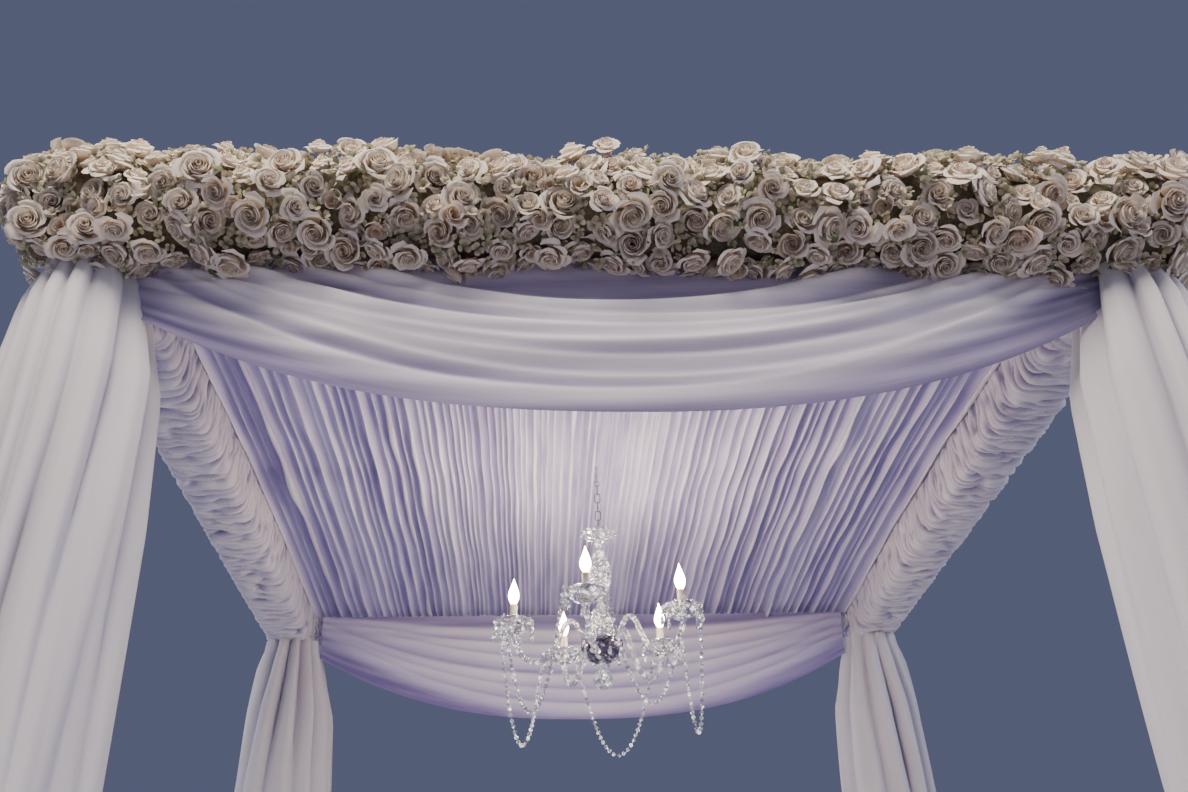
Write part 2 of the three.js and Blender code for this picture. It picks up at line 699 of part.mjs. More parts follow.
// String of beads between the rims of two neighbouring dishes
function garland(from, to) {
  const points = [];
  const steps = 20;
  for (let k = 0; k <= steps; k++) {
    const t = k / steps;
    const point = new THREE.Vector3().lerpVectors(from, to, t);
    point.z -= GARLAND_SAG * 4 * t * (1 - t);
    points.push(point);
  }
  return rodAlong(points, GARLAND_RADIUS, 14);
}

const armAngle = (k) => FIRST_ARM_ANGLE + 2 * Math.PI * k / ARMS;

// Point beside the rim of dish k, turned round the rim from straight outwards
function rimPoint(k, turn) {
  const angle = armAngle(k);
  const reach = DISH_RADIUS + GARLAND_RADIUS + SEAT / 2;
  return new THREE.Vector3(
    ARM_REACH * Math.cos(angle) + reach * Math.cos(angle + turn),
    ARM_REACH * Math.sin(angle) + reach * Math.sin(angle + turn),
    DISH_Z + DISH_DEPTH - 1,
  );
}

function buildChandelier() {
  const barReach = half + BAR_OVERHANG;
  const bar = boxBetween([-barReach, -BAR / 2, barLow], [barReach, BAR / 2, barLow + BAR]);
  add('chandelier_bar', bar, paintedSteel());
  add('chandelier_hook', hook(), chrome());
  add('chandelier_chain', chain(), chrome());
  add('chandelier_stem', stem(), crystal());
  const topDish = dish(TOP_DISH_Z + SEAT, TOP_DISH_RADIUS, TOP_DISH_DEPTH, STEM_NECK + SEAT);
  add('chandelier_top_dish', topDish, crystal());
  add('chandelier_bowl', bowl(), crystal());
  add('chandelier_finial', finial(), crystal());
  for (let k = 0; k < ARMS; k++) {
    const angle = armAngle(k);
    const x = ARM_REACH * Math.cos(angle);
    const y = ARM_REACH * Math.sin(angle);
    const dripDish = dish(DISH_Z, DISH_RADIUS, DISH_DEPTH, DISH_HOLE).rotateZ(angle).translate(x, y, 0);
    const beads = garland(rimPoint(k, GARLAND_TURN), rimPoint(k + 1, -GARLAND_TURN));
    add(`chandelier_arm_${k + 1}`, arm(angle), crystal());
    add(`drip_dish_${k + 1}`, dripDish, crystal());
    add(`candle_${k + 1}`, candle(x, y), candleWhite());
    add(`bulb_${k + 1}`, bulb(x, y), frosted());
    add(`bead_garland_${k + 1}`, beads, crystal());
  }
}

buildFrame();
buildCloth();
buildFlowers();
buildChandelier();

export default canopy;
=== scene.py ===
# %% [markdown]
# # A draped wedding canopy
# The real thing is a square steel frame hidden in white voile, with a thick band of cream roses on its
# front beam, a pleated cloth ceiling, two swags and a crystal chandelier. The frame, its sizes and its
# joints come packed. This file gives every piece its look: cloth with real folds, flowers with real
# petals and glass with real facets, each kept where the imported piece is.

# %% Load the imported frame
import json
from math import cos, pi, radians, sin, tau

import bmesh
import bpy
import numpy as np
from mathutils import Matrix, Vector

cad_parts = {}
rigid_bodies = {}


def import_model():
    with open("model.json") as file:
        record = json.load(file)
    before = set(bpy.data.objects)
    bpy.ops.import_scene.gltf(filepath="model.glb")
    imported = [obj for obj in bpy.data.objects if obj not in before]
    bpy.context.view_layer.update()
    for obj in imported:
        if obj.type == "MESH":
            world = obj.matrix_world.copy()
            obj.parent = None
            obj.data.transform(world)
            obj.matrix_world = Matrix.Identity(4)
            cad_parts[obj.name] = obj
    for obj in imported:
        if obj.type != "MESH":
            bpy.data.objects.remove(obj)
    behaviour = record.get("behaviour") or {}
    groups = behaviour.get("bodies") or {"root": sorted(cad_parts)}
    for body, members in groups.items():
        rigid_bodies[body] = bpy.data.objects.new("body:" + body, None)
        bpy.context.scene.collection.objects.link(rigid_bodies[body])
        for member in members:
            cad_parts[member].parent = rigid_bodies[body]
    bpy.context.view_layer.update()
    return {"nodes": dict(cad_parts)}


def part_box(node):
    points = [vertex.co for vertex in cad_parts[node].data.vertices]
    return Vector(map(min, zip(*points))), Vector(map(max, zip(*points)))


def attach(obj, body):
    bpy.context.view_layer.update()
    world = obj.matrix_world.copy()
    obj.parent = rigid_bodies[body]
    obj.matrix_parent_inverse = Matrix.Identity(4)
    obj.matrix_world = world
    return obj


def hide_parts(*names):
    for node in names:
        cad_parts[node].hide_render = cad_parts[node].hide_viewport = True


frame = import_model()

# %% [markdown]
# ## The camera
# The photograph was taken from in front of the canopy, low and looking up. The viewing point below was
# worked out from straight edges of the canopy: posts that lean together and beams that run away from the
# eye. Turning the camera by a pitch, a yaw and a small roll is easier to read than a ready matrix.

# %% Place the camera
IMAGE_WIDTH_PX = 1188
FOCAL_PX = 1106.34
SENSOR_MM = 36.0
EYE = Vector((-0.19222, -3.25595, 1.28283))
PITCH = radians(32.66)
YAW = radians(3.3735)
ROLL = radians(-1.8096)


def look_from(eye, pitch, yaw, roll):
    """World matrix of a camera that looks along +Y, turned towards +X, up and then round its own axis."""
    forward = Vector((sin(yaw) * cos(pitch), cos(yaw) * cos(pitch), sin(pitch)))
    level = Vector((cos(yaw), -sin(yaw), 0))
    upward = level.cross(forward)
    right = level * cos(roll) + upward * sin(roll)
    up = upward * cos(roll) - level * sin(roll)
    turned = Matrix((right, up, -forward)).transposed()
    return Matrix.Translation(eye) @ turned.to_4x4()


lens = bpy.data.cameras.new("eye")
lens.sensor_width = SENSOR_MM
lens.lens = FOCAL_PX * SENSOR_MM / IMAGE_WIDTH_PX
camera = bpy.data.objects.new("eye", lens)
camera.matrix_world = look_from(EYE, PITCH, YAW, ROLL)
bpy.context.scene.collection.objects.link(camera)
bpy.context.scene.camera = camera
print(f"lens {lens.lens:.2f} mm")

# %% [markdown]
# ## Small helpers for meshes
# Cloth, glass and petals are all grids of points bent by a rule, so one function turns a grid into a mesh
# and keeps where each point lies on the flat cloth as its UV map, in metres. A weave drawn on that map
# follows the folds, as real threads do.

# %% Make meshes from grids
def link(mesh, material):
    """An object for a finished mesh, with its name, at the origin."""
    mesh.materials.clear()
    mesh.materials.append(material)
    piece = bpy.data.objects.new(mesh.name, mesh)
    bpy.context.scene.collection.objects.link(piece)
    return piece


def settle(piece, body, slot, stands_for=None):
    """Fixes a finished piece to its body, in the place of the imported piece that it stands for."""
    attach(piece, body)
    if stands_for:
        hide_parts(stands_for)


def together(*values):
    """Points, or places on a flat cloth, from arrays of their coordinates."""
    return np.stack(np.broadcast_arrays(*values), -1)


def grid_faces(rows, columns, ring=False):
    """Quads of a grid of points, row by row. A ring joins its last column to its first."""
    i, j = np.meshgrid(np.arange(rows - 1), np.arange(columns if ring else columns - 1), indexing="ij")
    here = i * columns + j
    beside = i * columns + (j + 1) % columns
    return np.stack([here, beside, beside + columns, here + columns], -1).reshape(-1, 4)


def keep_value(mesh, name, values):
    """Keeps one number for each point of a mesh, for its material to read."""
    kept = mesh.attributes.new(name, "FLOAT", "POINT")
    kept.data.foreach_set("value", np.ascontiguousarray(values, np.float32).ravel())


def grid_mesh(name, points, flat=None, ring=False, smooth=True, fold=None, flip=False):
    """Mesh of an array of points of shape (rows, columns, 3). flat gives each point's place on the cut cloth,
    fold is painted shade, from 0 in a valley to 1 on a crest, and flip turns the faces the other way."""
    rows, columns, _ = points.shape
    faces = grid_faces(rows, columns, ring)
    if flip:
        faces = faces[:, ::-1]
    mesh = bpy.data.meshes.new(name)
    mesh.from_pydata(points.reshape(-1, 3).tolist(), [], faces.tolist())
    if flat is not None:
        spread = flat.reshape(-1, 2)[faces.reshape(-1)].copy()
        if ring:
            last = (faces % columns == columns - 1).any(1) & (faces % columns == 0).any(1)
            seam = (faces.reshape(-1) % columns == 0) & np.repeat(last, 4)
            spread[seam, 0] += flat[0, -1, 0] * columns / (columns - 1)
        mesh.uv_layers.new(name="flat_cloth").data.foreach_set("uv", spread.astype(np.float32).ravel())
    if fold is not None:
        keep_value(mesh, "fold", np.broadcast_to(fold, (rows, columns)))
    mesh.shade_smooth() if smooth else mesh.shade_flat()
    mesh.update()
    return mesh


def closed_body(mesh, merge=False):
    """Fills the open ends of a mesh and turns its faces outwards. merge first joins points that coincide."""
    made = bmesh.new()
    made.from_mesh(mesh)
    if merge:
        bmesh.ops.remove_doubles(made, verts=made.verts, dist=1e-6)
    bmesh.ops.holes_fill(made, edges=[edge for edge in made.edges if edge.is_boundary])
    bmesh.ops.recalc_face_normals(made, faces=made.faces)
    made.to_mesh(mesh)
    made.free()
    return mesh


print("3 rows of 4 points make", len(grid_faces(3, 4)), "faces, or as rings", len(grid_faces(3, 4, True)))

# %% [markdown]
# Nothing soft is quite regular, and nothing soft is jagged either. A sum of a few sine waves of different
# lengths wanders smoothly and comes out the same in each run, which noise from a picture wouldn't. The
# second function also runs round a tube and closes on itself.

# %% Let lines wander
def wander(values, seed, waves=5, longest=1.0):
    """Smooth, repeatable wandering between about -1 and 1, with waves from longest down to a fifth of it."""
    draw = np.random.default_rng(seed)
    total = np.zeros_like(np.asarray(values, float))
    for k in range(waves):
        length = longest / (1 + 4 * k / max(waves - 1, 1))
        height, start = draw.uniform(0.5, 1), draw.uniform(0, tau)
        total = total + height * np.sin(tau * values / length + start) / (1 + 0.5 * k)
    return total / 1.8


def wander_round(along, turn, seed, waves=7, longest=0.5):
    """Smooth wandering over a tube or sheet. turn is an angle, so the pattern closes round a ring."""
    draw = np.random.default_rng(seed)
    total = 0 * (along + turn)
    for k in range(waves):
        length = longest / (1 + 3 * k / max(waves - 1, 1))
        slant, height, start = draw.integers(-3, 4), draw.uniform(0.5, 1), draw.uniform(0, tau)
        total = total + height * np.sin(tau * along / length + slant * turn + start)
    return total / (0.55 * waves ** 0.75)


def mix(low, high, t):
    """From low at 0 to high at 1."""
    return low + (high - low) * t


def ease(t):
    """0 to 1 with level ends."""
    t = np.clip(t, 0, 1)
    return t * t * (3 - 2 * t)


print("a wandering line:", np.round(wander(np.linspace(0, 1, 5), 1), 2))

# %% [markdown]
# ## Node trees by hand
# Materials and Geometry Nodes are both trees of nodes. One small function adds a node, gives it its
# settings and feeds its inputs, either with a number or with another node's output. Colours are written
# as the hex values of a paint chart and turned linear in one place.

# %% Add nodes with one function
def srgb(text):
    """Linear colour from an sRGB hex value such as #f2efe8."""
    parts = [int(text[k:k + 2], 16) / 255 for k in (1, 3, 5)]
    return tuple(c / 12.92 if c <= 0.04045 else ((c + 0.055) / 1.055) ** 2.4 for c in parts) + (1.0,)


def node(tree, kind, inputs=(), stops=(), **settings):
    """A new node with its settings, and its inputs set or linked by name or number. A node that is given as
    an input stands for its first output. A colour ramp has stops, as (place, hex colour) from low to high."""
    made = tree.nodes.new(kind)
    for key, value in settings.items():
        setattr(made, key, value)
    for number, (place, colour) in enumerate(stops):
        band = made.color_ramp.elements
        stop = band[number] if number < len(band) else band.new(place)
        stop.position, stop.color = place, srgb(colour)
    for key, value in dict(inputs).items():
        value = value.outputs[0] if isinstance(value, bpy.types.Node) else value
        if isinstance(value, bpy.types.NodeSocket):
            tree.links.new(value, made.inputs[key])
        else:
            made.inputs[key].default_value = value
    return made


def new_material(name):
    """A material and its tree, still empty."""
    material = bpy.data.materials.new(name)
    material.use_nodes = True
    material.node_tree.nodes.clear()
    return material, material.node_tree


print("mid grey #808080 is", round(srgb("#808080")[0], 3), "in linear light")

# %% [markdown]
# ## Voile
# All the cloth here is polyester voile: plain woven, very thin and a little shiny, so light comes through
# and folds show as soft bands. A pure white would look like paper. This one keeps a cool white, lets part
# of the light through with a Translucent shader, and has sheen for the fuzz of the yarn. Its colour also
# carries painted shade: a lit white on the crests, and a painted lilac shade in the valleys of the folds.
# The real threads are 0.3 mm apart, too fine for any picture, so they are drawn 1.5 mm wide, every second
# one on top, and the uneven yarn at 9 mm across and 160 mm along. The ruched, swagged and pleated cloth
# hangs inside the canopy, so it gets copies of the same voile with deeper painted shade.

# %% Weave the voile
THREAD_M = 0.0015
THREADS_A_WAVE = 2
WAVE_TEXTURE_TURN = 20    # a Wave texture turns by this angle for each unit at scale 1
SLUB_ACROSS_M = 0.009
SLUB_ALONG_M = 0.16


def voile_material(name, lit, shade, valley, through):
    """Woven voile: its painted lit colour on a crest, painted shade on a slope and deeper painted shade in a
    valley, and the share of light let through.
    """
    material, tree = new_material(name)
    place = node(tree, "ShaderNodeUVMap", uv_map="flat_cloth")
    stretched = node(tree, "ShaderNodeMapping", {
        "Vector": place, "Scale": (1 / SLUB_ACROSS_M, 1 / SLUB_ALONG_M, 1)})
    slub = node(tree, "ShaderNodeTexNoise", {"Vector": stretched, "Scale": 1.0, "Detail": 3.0})
    # The fold value that each cloth piece keeps is painted shade, 0 in a valley and 1 on a crest. Uneven yarn
    # is added to it, and the ramp turns the sum into painted shade and light.
    fold = node(tree, "ShaderNodeAttribute", attribute_name="fold").outputs["Fac"]
    uneven = node(tree, "ShaderNodeMath", {0: slub, 1: 0.22, 2: fold}, operation="MULTIPLY_ADD")
    colour = node(tree, "ShaderNodeValToRGB", {0: uneven}, [(0.10, valley), (0.55, shade), (0.98, lit)])
    threads = [node(tree, "ShaderNodeTexWave", {
        "Vector": place, "Scale": tau / (THREAD_M * THREADS_A_WAVE * WAVE_TEXTURE_TURN),
        "Distortion": 0.6, "Detail": 1.0}, bands_direction=direction).outputs["Fac"] for direction in "XY"]
    upper = node(tree, "ShaderNodeMath", {0: threads[0], 1: threads[1]}, operation="MAXIMUM")
    relief = node(tree, "ShaderNodeMath", {0: upper, 1: slub}, operation="ADD")
    normal = node(tree, "ShaderNodeBump", {"Height": relief, "Strength": 0.12, "Distance": 0.0006})
    cloth = node(tree, "ShaderNodeBsdfPrincipled", {
        "Base Color": colour, "Roughness": 0.82, "Sheen Weight": 0.25, "Sheen Roughness": 0.4,
        "Specular IOR Level": 0.3, "Normal": normal})
    glow = node(tree, "ShaderNodeBsdfTranslucent", {"Color": colour, "Normal": normal})
    both = node(tree, "ShaderNodeMixShader", {0: through, 1: cloth, 2: glow})
    node(tree, "ShaderNodeOutputMaterial", {"Surface": both})
    return material


voile = voile_material("white_voile", "#efedef", "#dcd8e2", "#a9a2bd", 0.22)
# Copies of the same voile with deeper painted shade and a stronger lilac tint, for the cloth inside the
# canopy.
ruched_voile = voile_material("ruched_voile", "#e9e5ee", "#c0b8d2", "#776c96", 0.12)
swag_voile = voile_material("swag_voile", "#eeeaf0", "#c9c2d8", "#8e86ac", 0.14)
ceiling_voile = voile_material("ceiling_voile", "#e8e3f1", "#c2bbdc", "#7b70a8", 0.10)
print("voile: thread", THREAD_M * 1000, "mm as drawn")

# %% [markdown]
# ## Sizes shared by the cloth
# The posts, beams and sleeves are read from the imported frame, so each cloth piece lies where its packed
# stand-in lies. Only the depth and the number of folds are chosen here, from the photograph.

# %% Read the frame's sizes
SLEEVE_RUCHE = 0.005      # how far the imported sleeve's gathers stand out


def middle(name):
    """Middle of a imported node's box."""
    low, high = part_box(name)
    return (low + high) / 2


def hang_cloth(piece, stands_for, flat):
    settle(piece, "canopy", "voile", stands_for)
    share = sum(face.area for face in piece.data.polygons) / (flat[0] * flat[1])
    print(f"{piece.name}: {len(piece.data.polygons)} faces, {share:.2f} of its flat area shows")


POST = middle("post_front_right").x
BEAM_Z = middle("beam_front").z
sleeve_low, sleeve_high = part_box("beam_sleeve_right")
SLEEVE_HALF = (sleeve_high.z - sleeve_low.z) / 2 - SLEEVE_RUCHE
print(f"posts at {POST:.3f} m, beams at {BEAM_Z:.3f} m, sleeve half size {SLEEVE_HALF:.3f} m")

# %% [markdown]
# ## Column drapes
# Each post wears a tall drape of voile that is gathered at the top, under the flowers or the beam sleeve,
# and falls to the floor. Gathered cloth keeps its width, so where the bundle is narrow the folds are deep
# and round, and where it opens towards the hem they are wide and shallow. The drape is a ring of points
# pushed in and out by rounded folds with narrow valleys. Every fold wanders a little on its way down, and
# some run out half way, which is what tells cloth from a fluted column.

# %% Hang the column drapes
DRAPE_COLUMNS = 184
DRAPE_ROWS = 64
DRAPE_GATHERS = 13           # folds in the gathered neck
DRAPE_FOLDS = 8              # wide folds at the hem
DRAPE_DEPTH = (0.27, 0.36)   # depth of the folds as a share of the half width, at the hem and at the neck
DRAPE_FLAT = (2.0, 2.95)
# half widths by height: away from the canopy's middle, and towards it
DRAPE_OUTER = [(0.006, 0.252), (1.75, 0.152), (2.3, 0.142), (2.62, 0.137), (2.78, 0.128), (2.905, 0.110)]
DRAPE_INNER = [(0.006, 0.300), (1.75, 0.250), (2.3, 0.230), (2.62, 0.203), (2.78, 0.157), (2.905, 0.138)]


def fold_shape(phase, sharp):
    """Rounded folds, 1 on the crest and 0 in the narrow valley, one for each whole turn of phase."""
    return np.abs(np.cos(phase / 2)) ** sharp


def column_drape(corner, seed):
    """Ring of gathered cloth round one post, from its packed drape's box."""
    low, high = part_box(f"column_drape_{corner}")
    centre = middle(f"post_{corner}")
    sx, sy = np.sign(centre.x), np.sign(centre.y)
    turn = np.linspace(0, tau, DRAPE_COLUMNS, endpoint=False)[None, :]
    z = mix(low.z + 0.002, high.z + 0.02, np.linspace(0, 1, DRAPE_ROWS) ** 0.9)[:, None]
    fall = (z - low.z) / (high.z - low.z)
    outer, inner = (np.interp(z, *zip(*rows)) for rows in (DRAPE_OUTER, DRAPE_INNER))
    ax = np.where(np.cos(turn) > 0, outer, inner)
    ay = np.where(np.sin(turn) > 0, outer, inner)
    reach = 1 / np.hypot(np.cos(turn) / ax, np.sin(turn) / ay)

    drift = 0.25 * wander(z, seed, 3, 4.5) + 0.15 * wander_round(z, turn, seed + 1, 4, 4.0)
    crooked = turn + 0.14 * wander_round(0.12 * z, turn, seed + 2, 5, 2.0)
    gathers = fold_shape(DRAPE_GATHERS * crooked + 2 * drift, 0.75)
    wide = fold_shape(DRAPE_FOLDS * crooked + 1.3 * drift + seed, 1.1)
    fine = fold_shape((2 * DRAPE_GATHERS + 3) * turn + 3.1 * drift, 0.9)
    topward = ease((fall - 0.50) / 0.42)
    strong = np.clip(0.78 + 0.35 * wander_round(0.7 * z, turn, seed + 3, 6, 2.6), 0.3, 1.1)
    folds = 0.92 * mix(wide * 0.85 + 0.15 * gathers, gathers, topward) + 0.08 * fine
    radius = reach * (1 - mix(*DRAPE_DEPTH, topward) * strong * (1 - folds))
    radius = mix(radius, 0.9 * radius, ease((fall - 0.965) / 0.035))

    points = together(centre.x + sx * radius * np.cos(turn), centre.y + sy * radius * np.sin(turn), z)
    flat = together(turn / tau * DRAPE_FLAT[0], z)
    # Painted shade: the colour darkens in the valleys of the folds, most towards the gathered neck.
    shade = 1 - (1 - folds) * mix(0.75, 1.0, topward) * np.minimum(strong, 1)
    mesh = grid_mesh(f"drape_{corner}", points, flat, ring=True, fold=shade, flip=sx * sy < 0)
    hang_cloth(link(mesh, voile), f"column_drape_{corner}", DRAPE_FLAT)


for number, corner in enumerate(("front_left", "front_right", "rear_left", "rear_right")):
    column_drape(corner, 11 + 7 * number)

# %% [markdown]
# ## Beam sleeves
# The side beams are dressed in a tube of cloth that is much longer than the beam and pushed together on
# it. That makes crosswise wrinkles all the way round, deeper on the outside, and a scalloped outline. The
# tube is a grid round a rounded square. Two sets of creases, 33 mm and 51 mm apart, take turns along it,
# and they slant and wobble on their way round, because they are pushed together by hand. The cloth is
# wrapped and sewn on top, so its edge laps over its start.

# %% Gather a tube of cloth
SQUARENESS = 5.0          # 2 is a circle, more is a squarer section
OTHER_CREASES = 1.55      # pitch of the second set of creases, as a share of the first


def rounded_square(turn, size, power=SQUARENESS):
    """Points of a square with rounded corners, by angle."""
    c, s = np.cos(turn), np.sin(turn)
    reach = (np.abs(c) ** power + np.abs(s) ** power) ** (-1 / power)
    return c * reach * size, s * reach * size


def ruched_tube(along, turn, size, depth, pitch, seed):
    """Half size of a gathered sleeve, and its painted shade: how far each place is out of its creases, from 0
    to 1.
    """
    pushed = wander_round(along, turn, seed, 7, 0.34)
    first = fold_shape(tau * (along / pitch + 0.6 * pushed) + 0.5 * np.sin(turn + 1), 0.85)
    other = wander_round(along, turn, seed + 1, 7, 0.27)
    second = fold_shape(tau * (along / (OTHER_CREASES * pitch) + 0.6 * other) - 0.7 * np.sin(2 * turn), 0.85)
    share = 0.5 + 0.5 * np.clip(1.4 * wander_round(along, turn, seed + 2, 6, 0.22), -1, 1)
    ridges = mix(first, second, share)
    strong = np.clip(0.85 + 0.35 * wander_round(along, turn, seed + 3, 6, 0.3), 0.35, 1.1)
    # The second value is painted shade: dark deep in a crease, light where the cloth stands out.
    return size - depth * strong * (1 - ridges), np.clip(1 - 1.25 * (1 - ridges) * strong, 0, 1)


def wrapped(around, overlap=0.10, lift=0.0016):
    """Angles round a sleeve from its top, past a whole turn by overlap, and how far its edge laps over."""
    turn = np.linspace(0, tau + overlap, around)
    lap = lift * np.clip((turn - tau + 0.02) / overlap, 0, 1)
    return pi / 2 + turn[None, :], lap[None, :]


def flat_places(points, flat_size):
    """Where each point of a sleeve's grid lies on its flat cloth."""
    rows, columns, _ = points.shape
    across, along = np.linspace(0, flat_size[0], columns), np.linspace(0, flat_size[1], rows)
    return together(across[None, :], along[:, None])


print("the second creases lie", OTHER_CREASES, "times as far apart as the first")

# %% [markdown]
# Each side sleeve runs back past the rear post, and its end is drawn together there like the end of a
# bolster. The last rings of the grid shrink towards the middle and are pushed in and out as the petals of
# a rosette. The cloth lies closer on the side that faces the ceiling.

# %% Ruche the side beams' sleeves
SLEEVE_FLAT = (0.70, 3.3)
SLEEVE_STATIONS = 600
SLEEVE_AROUND = 46
SLEEVE_CREASE = 0.033
SLEEVE_DEPTH = (0.036, 0.016)    # of the creases, outside and towards the ceiling
SLEEVE_START = 0.030             # how far the sleeve starts inside the flowers
SLEEVE_SHOULDER = 0.012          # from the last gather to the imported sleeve's end
# rings of the drawn end: size as a share of the sleeve, and how far back each lies
ROSETTE_RINGS = ((0.93, 0.006), (0.72, 0.011), (0.45, 0.012), (0.2, 0.008), (0.07, 0.0))


def side_sleeve(side, label):
    """Gathered tube round a side beam, drawn together in a rosette of cloth at its rear end."""
    rear = sleeve_high.y - SLEEVE_SHOULDER
    along = np.linspace(sleeve_low.y - SLEEVE_START, rear, SLEEVE_STATIONS)[:, None]
    turn, lap = wrapped(SLEEVE_AROUND)
    depth = mix(*SLEEVE_DEPTH, ease((-side * np.cos(turn) - 0.35) / 0.5))
    size, shade = ruched_tube(along, turn, SLEEVE_HALF + 0.007, depth, SLEEVE_CREASE, 31 + side)
    size = size + lap
    x, z = rounded_square(turn, size)
    rings = [together(side * POST + x, along, BEAM_Z + z)]

    uneven = 14 * turn[0] + 1.1 * np.sin(2 * turn[0] + 1) + 0.8 * np.sin(5 * turn[0])
    for share, back in ROSETTE_RINGS:
        drawn_in = share * size[-1] * (1 + 0.10 * np.cos(uneven) * (1 - share))
        x, z = rounded_square(turn[0], drawn_in, mix(2.2, SQUARENESS, share))
        y = rear + back + 0.005 * np.cos(uneven) * (1 - share)
        rings.append(together(side * POST + x, y, BEAM_Z + z)[None])
    points = np.concatenate(rings)
    # Painted shade on the rosette: darker between its folded petals of cloth.
    shade = np.concatenate([shade, np.repeat(0.6 + 0.4 * np.cos(uneven)[None, :], len(ROSETTE_RINGS), 0)])
    mesh = grid_mesh(f"sleeve_{label}", points, flat_places(points, SLEEVE_FLAT), fold=shade, flip=True)
    hang_cloth(link(mesh, ruched_voile), f"beam_sleeve_{label}", SLEEVE_FLAT)


for side, label in ((-1, "left"), (1, "right")):
    side_sleeve(side, label)

# %% [markdown]
# The rear beam has a close sleeve of the same cloth, which only shows from behind and as a thin edge over
# the rear swag. It is made by the same rule, with finer creases.

# %% Ruche the rear beam's sleeve
REAR_SLEEVE_FLAT = (0.28, 2.85)
REAR_SLEEVE_STATIONS = 330
REAR_SLEEVE_AROUND = 32
REAR_SLEEVE_CREASE = 0.024
REAR_SLEEVE_DEPTH = 0.010
REAR_SLEEVE_RUCHE = 0.0025

low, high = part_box("beam_sleeve_rear")
close_half = (high.z - low.z) / 2 - REAR_SLEEVE_RUCHE
along = np.linspace(low.x - 0.004, high.x + 0.004, REAR_SLEEVE_STATIONS)[:, None]
turn, lap = wrapped(REAR_SLEEVE_AROUND)
size, shade = ruched_tube(along, turn, close_half + 0.003, REAR_SLEEVE_DEPTH, REAR_SLEEVE_CREASE, 57)
y, z = rounded_square(turn, size + lap)
points = together(along, POST + y, BEAM_Z + z)
mesh = grid_mesh("sleeve_rear", points, flat_places(points, REAR_SLEEVE_FLAT), fold=shade)
hang_cloth(link(mesh, ruched_voile), "beam_sleeve_rear", REAR_SLEEVE_FLAT)

# %% [markdown]
# ## The pleated ceiling
# The ceiling is one wide cloth gathered into narrow pleats that run from the front beam to the rear beam.
# From below, each pleat is a soft round fold with a dark line of painted shade beside it, and no two are
# quite alike. The pleats are drawn as leaning waves: the cloth moves sideways as well as up and down, so
# folds lap over their neighbour as real ones do. They are narrow at the middle and wider towards the
# sides. Two panels meet in a fold at the middle, where the hook comes through.

# %% Pleat the ceiling
PLEAT_PITCH = (0.024, 0.040)     # at the middle and at the sides
PLEAT_STEPS = 9
CEILING_ROWS = 30
CEILING_BULGE = 0.036            # the ceiling rises this much to its middle
CEILING_REST = (3.0253, 3.0388)  # height of its rest on the front beam and on the rear sleeve
CEILING_LOFT = 0.022             # the pleats' crests lie this much higher
CEILING_FLAT = (2.05, 2.55)
HOOK_ROOM = (0.0045, 0.03, 0.01)  # the seam parts by this much, this far along it and across it


def ceiling_panel(side, label):
    """Half of the ceiling, from the middle seam to one side sleeve."""
    low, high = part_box(f"ceiling_cloth_{label}")
    width = POST - SLEEVE_HALF + 0.016
    draw = np.random.default_rng(71 + side)
    pitches = []
    while sum(pitches) < width:
        pitches.append(draw.uniform(0.55, 1.45) * mix(*PLEAT_PITCH, sum(pitches) / width))
    pitches = np.array(pitches) * width / sum(pitches)
    count = len(pitches)
    starts = np.concatenate([[0], np.cumsum(pitches)])
    depths = pitches * draw.uniform(0.35, 0.8, count)
    leans = draw.uniform(0.2, 0.8, count)

    p = np.append(np.tile(np.arange(PLEAT_STEPS) / PLEAT_STEPS, count), 1.0)
    k = np.append(np.repeat(np.arange(count), PLEAT_STEPS), count - 1)
    across = starts[k] + pitches[k] * p
    t = np.linspace(0, 1, CEILING_ROWS)[:, None]
    y = mix(low.y, high.y, t)
    hang = (0.5 - 0.5 * np.cos(tau * p)[None, :]) ** 0.8
    live = 1 + 0.35 * wander(y + 0.9 * k[None, :], 83, 4, 1.7)
    shift = leans[k] * pitches[k] * 0.5 * np.sin(tau * p)
    stray = 0.005 * wander(y * 0.8 + 0.37 * across[None, :], 91, 4, 1.3)
    x = across[None, :] + shift[None, :] * live + stray * np.sin(pi * across / width)[None, :]
    part, far, near = HOOK_ROOM
    x = np.clip(x, 0.0, None) + part * np.exp(-((y / far) ** 2)) * (across[None, :] < near)
    broad = 0.5 + 0.5 * wander(across[None, :] + 0.05 * wander(y, 95, 3, 2.2), 97 + side, 4, 0.34)
    rest = mix(*CEILING_REST, t) + CEILING_BULGE * np.sin(pi * t) + CEILING_LOFT
    z = rest - depths[k][None, :] * hang * live - 0.009 * broad

    # Painted shade: dark in each pleat's hollow and along the broad waves across the ceiling.
    shade = np.clip(0.62 * hang * live + 0.38 * broad, 0, 1)
    flat = together(across[None, :] * CEILING_FLAT[0] / width, y)
    mesh = grid_mesh(f"ceiling_{label}", together(side * x, y, z), flat, fold=shade, flip=side > 0)
    hang_cloth(link(mesh, ceiling_voile), f"ceiling_cloth_{label}", CEILING_FLAT)


for side, label in ((-1, "left"), (1, "right")):
    ceiling_panel(side, label)

# %% [markdown]
# ## Swags
# A swag is a straight cloth pinned at both top corners and pulled up there into tight folds, so its middle
# hangs in long curves. Each line of the cloth is a hanging curve between the corners, and the folds follow
# those lines and come together at the ends. The front swag has two bold ridges high up and finer ones down
# its belly, and the rear one has six soft folds of much the same size. Both swags' ends are tucked away,
# the front one's behind the drapes.

# %% Drape the swags
SWAG_COLUMNS = 150
SWAG_ROWS = 84
SWAG_CURVE = 2.4          # power of the hanging edge: 2 is a parabola, more is flatter
RIDGE_CURVE = 2.1
SWAG_BELLY = 0.026        # how far the cloth comes forward in its middle
SWAG_GATHERS = 5.5        # tight folds in the pulled-up ends


